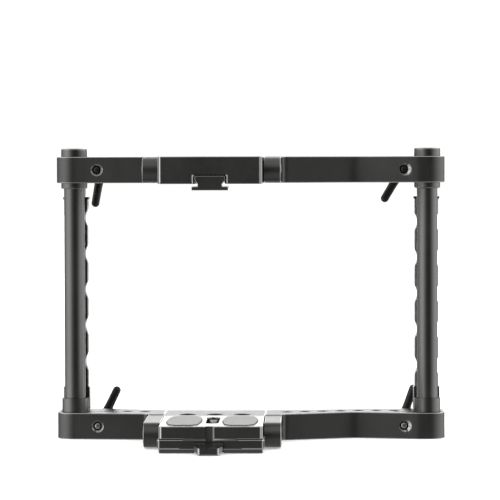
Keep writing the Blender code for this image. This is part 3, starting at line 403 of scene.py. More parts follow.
def warm_grey(value):
    return (value, 0.99 * value, 0.965 * value, 1)


def surface(name, tones, roughness, grain, bump, metallic=METAL, specular=0.5):
    """A grey finish with fine grain, a broad variation in colour and roughness, and faint handling
    marks. tones and roughness are its lowest and highest; grain is the grain's size in mm."""
    made = bpy.data.materials.new(name)
    made.use_nodes = True
    nodes, link = made.node_tree.nodes, made.node_tree.links.new
    shader = nodes["Principled BSDF"]
    set_inputs(shader, Metallic=metallic, Specular_IOR_Level=specular)
    place = nodes.new("ShaderNodeTexCoord")

    def noise(size, detail):
        source = nodes.new("ShaderNodeTexNoise")
        set_inputs(source, Scale=1 / size, Detail=detail)
        link(place.outputs["Object"], source.inputs["Vector"])
        return source.outputs["Fac"]

    def spread(source, start, end):
        fitted = nodes.new("ShaderNodeMapRange")
        set_inputs(fitted, From_Min=NOISE_LOW, From_Max=NOISE_HIGH, To_Min=start, To_Max=end)
        link(source, fitted.inputs["Value"])
        return fitted.outputs["Result"]

    def total(first, second):
        added = nodes.new("ShaderNodeMath")
        added.operation = "ADD"
        link(first, added.inputs[0])
        link(second, added.inputs[1])
        return added.outputs["Value"]

    broad = noise(BROAD_SIZE, BROAD_DETAIL)
    marks = noise(MARK_SIZE, MARK_DETAIL)
    fine = noise(grain * MM, GRAIN_DETAIL)
    mixed = nodes.new("ShaderNodeMix")
    mixed.data_type = "RGBA"
    set_inputs(mixed, A=warm_grey(tones[0]), B=warm_grey(tones[1]))
    blend = total(spread(broad, 0, BROAD_SHARE), spread(fine, 0, 1 - BROAD_SHARE))
    link(blend, mixed.inputs["Factor"])
    link(mixed.outputs["Result"], shader.inputs["Base Color"])
    half = (roughness[1] - roughness[0]) / 2
    rough = total(spread(broad, roughness[0], roughness[0] + half), spread(marks, 0, half))
    link(rough, shader.inputs["Roughness"])
    bumps = nodes.new("ShaderNodeBump")
    set_inputs(bumps, Strength=bump, Distance=GRAIN_DEPTH * grain * MM)
    link(fine, bumps.inputs["Height"])
    link(bumps.outputs["Normal"], shader.inputs["Normal"])
    return made


# Inside holes: a near-black colour, painted shade in the bores.
BORE_SHADE = surface("bore_painted_shade", (0.012, 0.022), (0.5, 0.62), 0.35, 0.2)
# Metal finishes: faces, a lighter edge colour for rounded edges and hole mouths that is a painted
# highlight, and the bores' painted shade.
ANODISED = (
    surface("anodised_black", (0.052, 0.066), (0.37, 0.46), 0.35, 0.25),
    surface("anodised_edge_highlight", (0.22, 0.32), (0.24, 0.34), 0.35, 0.15),
    BORE_SHADE,
)
POST = (
    surface("post_black", (0.072, 0.088), (0.26, 0.34), 0.3, 0.12),
    surface("post_edge_highlight", (0.14, 0.2), (0.26, 0.36), 0.3, 0.1),
    BORE_SHADE,
)
PLATE = (
    surface("plate_black", (0.082, 0.096), (0.24, 0.32), 0.35, 0.22),
    surface("plate_edge_highlight", (0.22, 0.3), (0.22, 0.32), 0.35, 0.15),
    BORE_SHADE,
)
STEEL = (
    surface("black_steel", (0.09, 0.13), (0.24, 0.36), 0.2, 0.12),
    surface("steel_edge_highlight", (0.16, 0.24), (0.2, 0.3), 0.2, 0.1),
    BORE_SHADE,
)
STUDS = {
    "base": (
        surface("stud_steel", (0.16, 0.22), (0.24, 0.36), 0.2, 0.12),
        surface("stud_edge_highlight", (0.2, 0.28), (0.2, 0.3), 0.2, 0.1),
        BORE_SHADE,
    ),
    # The upper studs' colour is much darker than the lower ones': painted shade on their tips, which
    # sit in the arms' front bores.
    "top": (
        surface("stud_painted_shade", (0.02, 0.035), (0.3, 0.42), 0.2, 0.12),
        surface("stud_painted_shade_edge", (0.03, 0.05), (0.26, 0.36), 0.2, 0.1),
        BORE_SHADE,
    ),
}
# The lever's edge colour is a little lighter than its faces: a painted highlight.
LEVER = (
    surface("lever_black", (0.005, 0.009), (0.42, 0.56), 0.5, 0.5, DIELECTRIC, 0.25),
    surface("lever_edge_highlight", (0.008, 0.014), (0.36, 0.46), 0.5, 0.4, DIELECTRIC, 0.3),
)
# The pads' faces are light grey, a painted sheen of grazing light on dark rubber; the rim keeps the
# rubber's own dark colour.
RUBBER = (
    surface("grey_rubber", (0.23, 0.32), (0.6, 0.72), 0.55, 0.8, DIELECTRIC),
    surface("rubber_rim", (0.035, 0.055), (0.5, 0.6), 0.55, 0.4, DIELECTRIC),
)


# Crossbar arms. The outline is drawn for the +X side and mirrored for the other.


def arm_front(x, reach, root_y, folded):
    """The front edge's Y at a distance x from the block's middle."""
    if not folded:
        share = min(max((x - LEG_OUTER_X) / (reach - ARM_FRONT_END - LEG_OUTER_X), 0), 1)
        return root_y + share * (ARM_FRONT_Y - root_y)
    back = root_y + FOLD_BACK_SLOPE * (x - LEG_OUTER_X)
    forward = ARM_FRONT_Y + FOLD_FORWARD_SLOPE * max(reach - FOLD_END - x, 0)
    return 0.5 * (back + forward) - math.hypot(0.5 * (back - forward), FOLD_ROUNDING)


def arm_rear(x, reach):
    """The rear edge's Y at a distance x from the block's middle."""
    share = min((x - LEG_INNER_X) / (reach - ARM_REAR_PAD - LEG_INNER_X), 1)
    return BLOCK_REAR_Y + share * (ARM_REAR_Y - BLOCK_REAR_Y)


def arm_outline(reach, end_radius, root_y, folded):
    fillet_end = LEG_OUTER_X + LEG_FILLET
    fillet_y = arm_front(fillet_end, reach, root_y, folded) - LEG_FILLET
    points = [(LEG_INNER_X, fillet_y)]
    points += arc((fillet_end, fillet_y), LEG_FILLET, 180, 90, 10)
    steps = 60 if folded else 4
    end_x = reach - ARM_FRONT_END
    for k in range(1, steps + 1):
        x = fillet_end + (end_x - fillet_end) * k / steps
        points.append((x, arm_front(x, reach, root_y, folded)))
    points += arc((reach, POST_Y), end_radius, -90, 0, 24)
    corner = (reach + end_radius - ARM_REAR_CORNER, ARM_REAR_Y - ARM_REAR_CORNER)
    points += arc(corner, ARM_REAR_CORNER, 0, 90, 18)
    points.append((reach - ARM_REAR_PAD, ARM_REAR_Y))
    points.append((LEG_INNER_X, BLOCK_REAR_Y))
    return points


def make_arm(level, side_name):
    side, root_y, folded, count = ARMS[side_name]
    node = f"{level}_{side_name}_arm"
    z = LEVEL_Z[level]
    top = z + BAR_THICK
    post = middle(side_name + "_tube")
    reach = abs(post.x)
    end_radius = max(abs(low(node).x), abs(high(node).x)) - reach
    screws = [middle(f"{level}_{side_name}_{place}_leg_screw") for place in ("front", "rear")]
    stud = middle(f"{level}_{side_name}_stud")
    bar = side_name + "_side_bar"

    def outline(bm):
        points = arm_outline(reach, end_radius, root_y, folded)
        add_prism(bm, [(side * x, y) for x, y in points], z, top)

    def leg(bm):
        base = z + LEG_RECESS
        radius = 0.5 * BAR_THICK - LEG_RECESS
        nose = arc((LEG_FRONT_Y + radius, base + radius), radius, 90, 270, 36)
        inside = root_y + LEG_OVERLAP
        shape = nose + [(inside, base), (inside, base + 2 * radius)]
        add_prism(bm, shape, *sorted((side * LEG_INNER_X, side * LEG_OUTER_X)), "X")

    def holes(bm):
        for k in range(count):
            x = HOLE_FIRST_X + k * HOLE_PITCH
            y = 0.5 * (arm_front(x, reach, root_y, folded) + arm_rear(x, reach))
            threaded_bore(bm, SMALL_THREAD, z, top, (side * x, y, 0))

    def clamp_bores(bm):
        sleeve = 0.5 * (high(side_name + "_lower_sleeve").x - low(side_name + "_lower_sleeve").x)
        bore = sleeve + SLEEVE_CLEARANCE
        plain_bore(bm, bore, z, top, (post.x, POST_Y, 0), mouth=CLAMP_MOUTH, sides=ROUND)

    def tongue_slot(bm):
        xs = (post.x - TONGUE_SLOT_HALF, post.x + TONGUE_SLOT_HALF)
        ys = (low(bar).y + BOSS_LENGTH - GAP, high(bar).y + GAP)
        add_box(bm, xs, ys, (z - PAST, top + PAST))

    def slit(bm):
        span = sorted((side * (reach - CLAMP_SLIT_START), side * (reach - CLAMP_SLIT_REACH)))
        half = 0.5 * CLAMP_SLIT
        add_box(bm, span, (POST_Y - half, POST_Y + half), (z - PAST, top + PAST))

    def slit_end(bm):
        centre = (side * (reach - CLAMP_SLIT_REACH), POST_Y, 0)
        add_rod(bm, CLAMP_SLIT, z - PAST, top + PAST, "Z", centre, 24)

    def stud_bore(bm):
        front = arm_front(abs(stud.x), reach, root_y, folded)
        plain_bore(bm, STUD_BORE, front, ARM_REAR_Y, (stud.x, 0, stud.z), "Y", STUD_MOUTH)

    def screw_bores(bm):
        seat = side * (LEG_OUTER_X - LEG_SCREW_DEPTH)
        profile = [(0, seat), (LEG_SCREW_BORE, seat)]
        profile += mouthed(LEG_SCREW_BORE, side * LEG_OUTER_X, side, LEG_SCREW_MOUTH)
        for screw in screws:
            add_turned(bm, profile, "X", (0, screw.y, screw.z), SMALL_ROUND)

    joins = [solid(node + "_leg", ANODISED, leg, bevel=LEG_EDGE)]
    fills = (holes, clamp_bores, tongue_slot, slit, slit_end, stud_bore, screw_bores)
    cuts = cutters(node, ANODISED, *fills)
    piece(node, "anodised", ANODISED, outline, joins, cuts, bevel=EDGE)


# Centre blocks


def chamfered_outline(front, rear, half, chamfer):
    return mirrored([(half - chamfer, front), (half, front + chamfer), (half, rear)])


def channel_half(z):
    """Half the width of the base's dovetail channel at a height."""
    return CHANNEL_HALF - (z - CHANNEL_FLOOR) * CHANNEL_NARROWING


def add_rear_part(bm, front, z, top):
    """The rear of a block, as wide as the space between the arms it is screwed to."""
    reach = LEG_INNER_X - SNUG
    add_box(bm, (-reach, reach), (front, BLOCK_REAR_Y), (z, top))


def add_button_pocket(bm, start, end):
    """The space for the release tab, between two heights."""
    sides = (low("release_button").x - BUTTON_PLAY, high("release_button").x + BUTTON_PLAY)
    add_box(bm, sides, (BLOCK_FRONT_Y - PAST, BUTTON_POCKET_REAR_Y), (start, end))


def make_base_block():
    node = "base_block"
    rear = high("camera_plate").y + GAP
    lip_half = high(node).x
    lip_rear = -10 * MM
    bevel = 2.6 * MM
    lip = 2 * MM
    lip_edge = 0.6 * MM
    sockets_y = 35.4 * MM

    def body(bm):
        side_view = [
            (BLOCK_FRONT_Y, bevel),
            (BLOCK_FRONT_Y + bevel, 0),
            (BLOCK_REAR_Y, 0),
            (BLOCK_REAR_Y, BAR_THICK),
            (rear, BAR_THICK),
            (rear, JAW_TOP),
            (BLOCK_FRONT_Y, JAW_TOP),
        ]
        add_prism(bm, side_view, -BLOCK_HALF, BLOCK_HALF, "X")

    def lips(bm):
        corner = arc((lip_half - lip, BLOCK_FRONT_Y + lip), lip, 270, 360)
        add_prism(bm, mirrored([*corner, (lip_half, lip_rear)]), bevel, JAW_TOP)

    def rear_part(bm):
        add_rear_part(bm, rear, 0, BAR_THICK)

    def channel(bm):
        ceiling = JAW_TOP + PAST
        wide, narrow = channel_half(CHANNEL_FLOOR), channel_half(ceiling)
        shape = mirrored([(wide, CHANNEL_FLOOR), (narrow, ceiling)])
        add_prism(bm, shape, BLOCK_FRONT_Y - PAST, rear, "Y")

    def notch(bm):
        add_button_pocket(bm, -PAST, CHANNEL_FLOOR + PAST)

    def sockets(bm):
        for x in SOCKETS_X:
            threaded_bore(bm, LARGE_THREAD, 0, BAR_THICK, (x, sockets_y, 0))

    joins = [
        solid(node + "_lips", ANODISED, lips, bevel=lip_edge),
        solid(node + "_rear", ANODISED, rear_part, bevel=EDGE),
    ]
    cuts = cutters(node, ANODISED, channel, notch, sockets)
    piece(node, "anodised", ANODISED, body, joins, cuts, bevel=EDGE)


def make_top_block():
    node = "top_block"
    z = LEVEL_Z["top"]
    top = z + BAR_THICK
    roof = high("shoe_foot").z + 0.4 * MM
    lock = middle("shoe_lock_screw")
    lock_radius, lock_mouth = 2.3 * MM, 0.4 * MM
    channel_side, channel_rear = 7.8 * MM, 34 * MM
    mouth_wide, mouth_rise, mouth_depth = 9.0 * MM, 0.25 * MM, 1.2 * MM
    overlap = 0.05 * MM
    sockets_y = 46 * MM
    small_pitch = 11 * MM

    def body(bm):
        outline = chamfered_outline(BLOCK_FRONT_Y, BLOCK_REAR_Y, BLOCK_HALF, FRONT_CHAMFER)
        add_prism(bm, outline, z, top)

    def rear_part(bm):
        add_rear_part(bm, LEG_FRONT_Y + 0.5 * BAR_THICK, z, top)

    def channel(bm):
        ys = (BLOCK_FRONT_Y - PAST, channel_rear)
        add_box(bm, (-channel_side, channel_side), ys, (z - PAST, roof))

    def channel_mouth(bm):
        sections = (
            (mouth_wide, roof + mouth_rise, BLOCK_FRONT_Y - PAST),
            (mouth_wide, roof + mouth_rise, BLOCK_FRONT_Y),
            (channel_side - overlap, roof - overlap, BLOCK_FRONT_Y + mouth_depth),
        )
        rings = []
        for half, ceiling, y in sections:
            outline = box_outline(-half, half, z - PAST, ceiling)
            rings.append([bm.verts.new((a, y, b)) for a, b in outline])
        bridge_rings(bm, rings, [PLAIN, RIM])

    def sockets(bm):
        for x in SOCKETS_X:
            threaded_bore(bm, LARGE_THREAD, z, top, (x, sockets_y, 0))
            if x:
                for k in (-2, -1, 0):
                    threaded_bore(bm, SMALL_THREAD, z, top, (x, k * small_pitch, 0))

    def lock_bore(bm):
        plain_bore(bm, lock_radius, roof - PAST, top, (lock.x, lock.y, 0), mouth=lock_mouth)

    joins = [solid(node + "_rear", ANODISED, rear_part, bevel=EDGE)]
    cuts = cutters(node, ANODISED, channel, channel_mouth, sockets, lock_bore)
    piece(node, "anodised", ANODISED, body, joins, cuts, bevel=EDGE)


# Camera plate


def pad_outline(pad, grow=0.0):
    """A pad's outline: bowed sides, straight ends and cut corners; grow makes room round it."""
    start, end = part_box(pad)
    mid = (start + end) / 2
    half_width = 0.5 * (end.x - start.x) + grow
    half_length = 0.5 * (end.y - start.y) + grow
    corner = 3.5 * MM
    bow = 1.6 * MM
    reach = half_length - corner
    inset = half_width - bow - corner
    steps = 8
    points = []
    for turn in (1, -1):
        for k in range(-steps, steps + 1):
            share = turn * k / steps
            out = half_width - bow * share * share
            points.append((mid.x + turn * out, mid.y + share * reach))
        points.append((mid.x + turn * inset, mid.y + turn * half_length))
        points.append((mid.x - turn * inset, mid.y + turn * half_length))
    return points


def slot_outline(slot_middle, half_width, reach):
    rear = arc((0, slot_middle + reach), half_width, 0, 180, 24)
    return rear + arc((0, slot_middle - reach), half_width, 180, 360, 24)


def make_camera_plate():
    node = "camera_plate"
    rear = high(node).y
    top = high(node).z
    front = BLOCK_FRONT_Y
    keel_overlap = 1 * MM
    slot_middle, slot_half, slot_reach = 2.8 * MM, 3.3 * MM, 13.1 * MM
    slot_mouth, slot_depth = 0.5 * MM, 4 * MM
    pocket_half, pocket_reach, pocket_top = 7.2 * MM, 20.4 * MM, 11.3 * MM
    pad_play, pad_depth = 0.25 * MM, 1 * MM
    notch_left, notch_right, notch_deep = -2.9 * MM, 2.1 * MM, 0.8 * MM
    seam_half, seam_drop, seam_deep = 17 * MM, 0.55 * MM, 0.22 * MM

    def body(bm):
        outline = chamfered_outline(front, rear, BLOCK_HALF, FRONT_CHAMFER)
        add_prism(bm, outline, PLATE_LOW, top)

    def keel(bm):
        bottom, ceiling = CHANNEL_FLOOR + KEEL_PLAY, PLATE_LOW + keel_overlap
        wide, narrow = channel_half(bottom) - KEEL_PLAY, channel_half(ceiling) - KEEL_PLAY
        shape = mirrored([(wide, bottom), (narrow, ceiling)])
        add_prism(bm, shape, front + SNUG, rear - GAP, "Y")

    def slot(bm):
        shape = slot_outline(slot_middle, slot_half, slot_reach)
        layers = [
            (shape, top - slot_depth, PLAIN),
            (shape, top - slot_mouth, PLAIN),
            (grown(shape, slot_mouth + PAST), top + PAST, RIM),
        ]
        add_loft(bm, layers)

    def keel_pocket(bm):
        ys = (slot_middle - pocket_reach, slot_middle + pocket_reach)
        add_box(bm, (-pocket_half, pocket_half), ys, (KEEL_LOW - PAST, pocket_top))

    def pad_pockets(bm):
        for pad in ("left_pad", "right_pad"):
            add_prism(bm, pad_outline(pad, pad_play), top - pad_depth, top + PAST)

    def notch(bm):
        shape = [
            (notch_left, front - PAST),
            (notch_right, front - PAST),
            (notch_right, front),
            (notch_right - 0.6 * MM, front + 0.45 * MM),
            (notch_right - 1.2 * MM, front + notch_deep),
            (notch_left + 0.7 * MM, front + notch_deep),
        ]
        add_prism(bm, shape, PLATE_LOW - PAST, top + PAST)

    def seam(bm):
        shape = [
            (front - PAST, JAW_TOP - seam_drop),
            (front, JAW_TOP - seam_drop),
            (front + seam_deep, JAW_TOP),
            (front + seam_deep, PLATE_LOW),
            (front - PAST, PLATE_LOW),
        ]
        add_prism(bm, shape, -seam_half, seam_half, "X")

    def button_pocket(bm):
        add_button_pocket(bm, KEEL_LOW - PAST, high("release_button").z + BUTTON_PLAY)

    joins = [solid(node + "_keel", PLATE, keel)]
    cuts = cutters(node, PLATE, slot, keel_pocket, pad_pockets, notch, button_pocket)
    # The seam's faces take the plate's lighter edge colour: a painted highlight along the groove.
    cuts += cutters(node, (PLATE[RIM],), seam)
    piece(node, "plate", PLATE, body, joins, cuts, bevel=EDGE)


def make_pad(pad):
    """A rubber pad, flat on top, with a soft rounded rim."""
    rounding = 0.4 * MM

    def body(bm):
        add_prism(bm, pad_outline(pad), low(pad).z, high(pad).z)

    piece(pad, "rubber", RUBBER, body, bevel=rounding, segments=4)


def make_button():
    """The release tab: narrower at its front, with its lower corners cut off."""
    node = "release_button"
    start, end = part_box(node)
    mid_x = middle(node).x
    half = 0.5 * (end.x - start.x)
    corner = 2.4 * MM
    face_half = half - corner
    shoulder = 1.6 * corner  # length of the narrowing
    drop = 2.4 * MM  # of the sloping top
    rounding = 0.7 * MM
    bore_radius, bore_depth = 1.5 * MM, 5 * MM

    def tab(bm):
        side = [(face_half, start.y), (half, start.y + shoulder), (half, end.y)]
        add_prism(bm, [(mid_x + x, y) for x, y in mirrored(side)], start.z, end.z)

    def slope(bm):
        shape = [
            (start.y - PAST, end.z - drop),
            (BLOCK_FRONT_Y, end.z),
            (BLOCK_FRONT_Y, end.z + PAST),
            (start.y - PAST, end.z + PAST),
        ]
        add_prism(bm, shape, start.x - PAST, end.x + PAST, "X")

    def corners(bm):
        for side in (-1, 1):
            shape = [
                (mid_x + side * face_half, start.z - PAST),
                (mid_x + side * (half + PAST), start.z - PAST),
                (mid_x + side * (half + PAST), start.z + corner),
                (mid_x + side * half, start.z + corner),
                (mid_x + side * face_half, start.z),
            ]
            add_prism(bm, shape, start.y - PAST, end.y + PAST, "Y")

    def spring_bore(bm):
        centre = (mid_x, 0, middle("button_spring").z)
        add_rod(bm, bore_radius, end.y - bore_depth, end.y + PAST, "Y", centre)

    cuts = cutters(node, PLATE, corners, slope, spring_bore)
    piece(node, "anodised", PLATE, tab, cuts=cuts, bevel=rounding)


# Springs and screws


def make_coil(node, axis, wire, turns):
    """A coil of wire of the given radius through a CAD spring's box, its end turns closed."""
    start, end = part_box(node)
    along = "XYZ".index(axis)
    radius = 0.5 * (end[0] - start[0]) - wire
    place = AXIS_MAPS[axis]
    centre = Vector((start + end) / 2)
    centre[along] = 0
    travel = end[along] - start[along] - 2 * wire
    steps, sides = 28, 10  # points round a turn and round the wire
    count = int(turns * steps)
    closed = 0.6  # turns at each end
    closed_rise = 0.1  # of the travel, spread over all turns

    def coil(bm):
        rings = []
        for k in range(count + 1):
            share = k / count
            eased = min(max((share * turns - closed) / (turns - 2 * closed), 0), 1)
            angle = 2 * math.pi * k / steps
            rise = closed_rise * share + (1 - closed_rise) * eased
            spot = start[along] + wire + travel * rise
            ring = []
            for s in range(sides):
                lean = 2 * math.pi * s / sides
                out = radius + wire * math.cos(lean)
                t = spot + wire * math.sin(lean)
                point = place(out * math.cos(angle), out * math.sin(angle), t)
                ring.append(bm.verts.new(centre + Vector(point)))
            rings.append(ring)
        bridge_rings(bm, rings)

    piece(node, "steel", STEEL, coil)


def make_cap_screw(node, axis, outward, sizes):
    """A socket screw in a CAD screw's box: threaded shank, rounded head and hex socket. outward is
    which way the head faces along the axis; sizes are the shank's and the head's radius, the
    socket's width and the head's length in mm."""
    shank, head, flats, head_length = (size * MM for size in sizes)
    start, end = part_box(node)
    along = "XYZ".index(axis)
    first, last = (start[along], end[along]) if outward > 0 else (end[along], start[along])
    centre = Vector((start + end) / 2)
    centre[along] = 0
    seat = last - outward * head_length
    pitch = 0.6 * MM
    tip, root = 0.75 * shank, 0.85 * shank
    rounded, corner = 0.3 * MM, 0.1 * MM
    socket_depth = 0.62 * head_length
    socket_mouth = 0.12 * MM
    profile = [(0, first), (tip, first)]
    count = int(abs(seat - first) / pitch) - 1
    for k in range(max(count, 0)):
        spot = first + outward * (k + 0.5) * pitch
        profile += [(root, spot), (shank, spot + outward * 0.5 * pitch)]
    profile += [(shank, seat - outward * corner), (shank, seat), (head - corner, seat, RIM)]
    profile += [(head, seat + outward * corner), (head, last - outward * rounded, RIM)]
    profile += [(head - 0.3 * rounded, last - outward * 0.3 * rounded, RIM)]
    profile += [(head - rounded, last), (0, last)]

    def body(bm):
        add_turned(bm, profile, axis, centre, SMALL_ROUND)

    def socket(bm):
        add_hex_socket(bm, axis, centre, last, outward, flats, socket_depth, socket_mouth)

    piece(node, "steel", STEEL, body, cuts=cutters(node, STEEL, socket))


CAMERA_SCREW_RADIUS = 2.9 * MM
WASHER_PLAY = 0.2 * MM
RING_SIDES = 64


def make_camera_screw():
    node = "camera_screw"
    finish = STUDS["base"]
    start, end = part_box(node)
    centre = (middle(node).x, middle(node).y, 0)
    radius = CAMERA_SCREW_RADIUS
    head = 0.5 * (end.x - start.x)
    head_high = start.z + 2 * MM
    head_chamfer, head_rounding = 0.4 * MM, 0.2 * MM
    plain_length, thread_start = 3.2 * MM, 3.6 * MM
    pitch, groove = 1.0 * MM, 0.4 * MM
    tip, tip_length = 0.9 * MM, 0.6 * MM
    socket_flats, socket_depth = 4.1 * MM, 1.2 * MM
    slot_half, slot_depth = 0.6 * MM, 0.7 * MM

    def body(bm):
        profile = [
            (0, start.z),
            (head - head_chamfer, start.z, RIM),
            (head, start.z + head_chamfer),
            (head, head_high - head_rounding),
            (head - head_rounding, head_high),
            (radius, head_high),
            (radius, head_high + plain_length),
        ]
        spot = head_high + thread_start
        while spot + pitch < end.z - tip_length:
            profile.append((radius - groove, spot))
            profile += [(radius, spot + share * pitch) for share in (0.45, 0.55)]
            spot += pitch
        profile.append((radius - groove, end.z - tip_length, RIM))
        profile += [(radius - tip, end.z), (0, end.z)]
        add_turned(bm, profile, "Z", centre, RING_SIDES)

    def socket(bm):
        shape = [(a + centre[0], b + centre[1]) for a, b in hexagon(socket_flats)]
        add_prism(bm, shape, start.z - PAST, start.z + socket_depth)

    def slot(bm):
        xs = (centre[0] - slot_half, centre[0] + slot_half)
        ys = (centre[1] - head - PAST, centre[1] + head + PAST)
        add_box(bm, xs, ys, (start.z - PAST, start.z + slot_depth))

    piece(node, "steel", finish, body, cuts=cutters(node, finish, socket, slot))


def make_ring(node, axis, centre, inner):
    """A flat ring in a CAD ring's box."""
    start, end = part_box(node)
    along = "XYZ".index(axis)
    outer = 0.5 * (end.x - start.x)
    rounding = 0.15 * MM

    def body(bm):
        sides = ((outer, start), (outer, end), (inner, end), (inner, start))
        profile = [(radius, corner[along]) for radius, corner in sides]
        add_turned(bm, profile, axis, centre, RING_SIDES)

    piece(node, "steel", STEEL, body, bevel=rounding)


def make_slot_washer():
    """The square washer that slides along the slot with the camera screw, and the screw's ring."""
    node = "slot_washer"
    start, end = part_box(node)
    centre = (middle("camera_screw").x, middle("camera_screw").y, 0)
    inner = CAMERA_SCREW_RADIUS + WASHER_PLAY
    rounding, mouth = 0.2 * MM, 0.15 * MM

    def body(bm):
        add_box(bm, (start.x, end.x), (start.y, end.y), (start.z, end.z))

    def bore(bm):
        plain_bore(bm, inner, start.z, end.z, centre, mouth=mouth)

    make_ring("screw_ring", "Z", centre, inner)
    piece(node, "steel", STEEL, body, cuts=cutters(node, STEEL, bore), bevel=rounding)


def make_shoe_foot():
    """The foot in the upper block: a head in the channel, a narrower neck and a flange."""
    node = "shoe_foot"
    start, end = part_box(node)
    neck, head = 6.2 * MM, 7.6 * MM  # half widths
    neck_low = start.z + 1 * MM
    shoulder_low = LEVEL_Z["top"]
    shoulder_high = shoulder_low + 2.2 * MM
    flange_thick, flange_length, flange_edge = 1.9 * MM, 18 * MM, 0.3 * MM

    def body(bm):
        side = [(neck, neck_low), (neck, shoulder_low), (head, shoulder_high), (head, end.z)]
        add_prism(bm, mirrored(side), start.y, end.y, "Y")

    def flange(bm):
        ys, zs = (start.y, start.y + flange_length), (start.z, start.z + flange_thick)
        add_box(bm, (start.x, end.x), ys, zs)

    joins = [solid(node + "_flange", PLATE, flange, bevel=flange_edge)]
    piece(node, "anodised", PLATE, body, joins, bevel=FINE_EDGE)


# Side posts

TUBE_WALL = 1.5 * MM
SLEEVE_PLAY = 0.15 * MM
SLEEVE_CHAMFER = 0.5 * MM
SLEEVE_FLOOR = 1.6 * MM  # the lower sleeve is closed below
CAP_LIFT = 0.03 * MM  # from the upper sleeve to the cap's lid
CAP_STEM_WALL = 1.8 * MM
CAP_ROUNDING = ((0, 0.8 * MM, RIM), (0.2 * MM, 0.3 * MM, RIM), (0.8 * MM, 0))  # in, down
POST_HEX = (4.0 * MM, 2.4 * MM, 0.25 * MM)  # width, depth and mouth
BAR_SCREW = (1.4, 2.6, 2.1, 2.0)


def hex_cutter(name, centre, face, outward):
    """A cutter for the hexagonal socket in a post's end."""

    def socket(bm):
        add_hex_socket(bm, "Z", centre, face, outward, *POST_HEX)

    return solid(name + "_hex", POST, socket)


def make_post(side_name):
    """A tube in its two sleeves, with its cap and the scalloped bar beside it."""
    tube, foot, collar, cap = (
        f"{side_name}_{part}" for part in ("tube", "lower_sleeve", "upper_sleeve", "top_cap")
    )
    centre = (middle(tube).x, POST_Y, 0)
    tube_radius = 0.5 * (high(tube).x - low(tube).x)
    sleeve_radius = 0.5 * (high(foot).x - low(foot).x)
    bore = tube_radius + SLEEVE_PLAY
    wall = tube_radius - TUBE_WALL
    stem = tube_radius - CAP_STEM_WALL
    lid = high(collar).z + CAP_LIFT
    top = high(cap).z

    def sleeve_side(sleeve):
        start, end = low(sleeve).z, high(sleeve).z
        return [
            (sleeve_radius - SLEEVE_CHAMFER, start, RIM),
            (sleeve_radius, start + SLEEVE_CHAMFER),
            (sleeve_radius, end),
            (bore, end),
        ]

    def turned(node, profile, *cuts):
        piece(node, "anodised", POST, lambda bm: add_turned(bm, profile, "Z", centre), cuts=cuts)

    start, end = low(tube).z, high(tube).z
    turned(tube, [(tube_radius, start), (tube_radius, end), (wall, end), (wall, start)])
    start = low(foot).z
    floor = start + SLEEVE_FLOOR
    closed = [(0, start), *sleeve_side(foot), (bore, floor), (0, floor)]
    turned(foot, closed, hex_cutter(foot, centre, start, -1))
    turned(collar, [*sleeve_side(collar), (bore, low(collar).z)])
    plug = [(0, low(cap).z), (stem, low(cap).z), (stem, lid), (sleeve_radius, lid)]
    plug += [(sleeve_radius - inset, top - drop, *index) for inset, drop, *index in CAP_ROUNDING]
    turned(cap, [*plug, (0, top)], hex_cutter(cap, centre, top, 1))
    make_side_bar(side_name)
    for place in ("lower", "upper"):
        make_cap_screw(f"{side_name}_{place}_bar_screw", "Y", 1, BAR_SCREW)


SCALLOP_PITCH = 19.3 * MM
SCALLOP_RADIUS = 7.5 * MM
SCALLOP_DEPTH = 1.4 * MM
SCALLOPS = 5
SCALLOP_MID_Z = {"left": 79 * MM, "right": 76.6 * MM}
BAR_DEPTH = 6 * MM
BAR_TONGUE_HALF = 5 * MM
BAR_WAIST = 0.7 * MM  # the scalloped part is this much narrower on each side
BAR_WIDE_Z = (14.4 * MM, LEVEL_Z["top"] - 7.5 * MM)
BAR_WAIST_Z = (26.4 * MM, 128 * MM)
BAR_BOSS_RADIUS = 3 * MM
BAR_SCREW_BORE = 1.6 * MM
BAR_SCREW_SEAT = (2.8 * MM, 2.6 * MM)  # radius and depth


def side_bar_edge(mid_z, node):
    """The bar's edge as (half width, height) pairs, upwards: a tongue at each end and scallops
    between."""
    end_half = 0.5 * (high(node).x - low(node).x)
    half = end_half - BAR_WAIST
    wide_low, wide_high = BAR_WIDE_Z
    waist_low, waist_high = BAR_WAIST_Z
    points = [
        (BAR_TONGUE_HALF, low(node).z),
        (BAR_TONGUE_HALF, wide_low),
        (end_half, wide_low),
        (end_half, waist_low),
        (half, waist_low + BAR_WAIST),
    ]
    half_chord = math.sqrt(2 * SCALLOP_RADIUS * SCALLOP_DEPTH - SCALLOP_DEPTH**2)
    reach = math.degrees(math.asin(half_chord / SCALLOP_RADIUS))
    for k in range(SCALLOPS):
        z = mid_z + (k - (SCALLOPS - 1) / 2) * SCALLOP_PITCH
        centre = (half - SCALLOP_DEPTH + SCALLOP_RADIUS, z)
        points += arc(centre, SCALLOP_RADIUS, 180 + reach, 180 - reach, 20)
    points += [
        (half, waist_high - BAR_WAIST),
        (end_half, waist_high),
        (end_half, wide_high),
        (BAR_TONGUE_HALF, wide_high),
        (BAR_TONGUE_HALF, high(node).z),
    ]
    return points


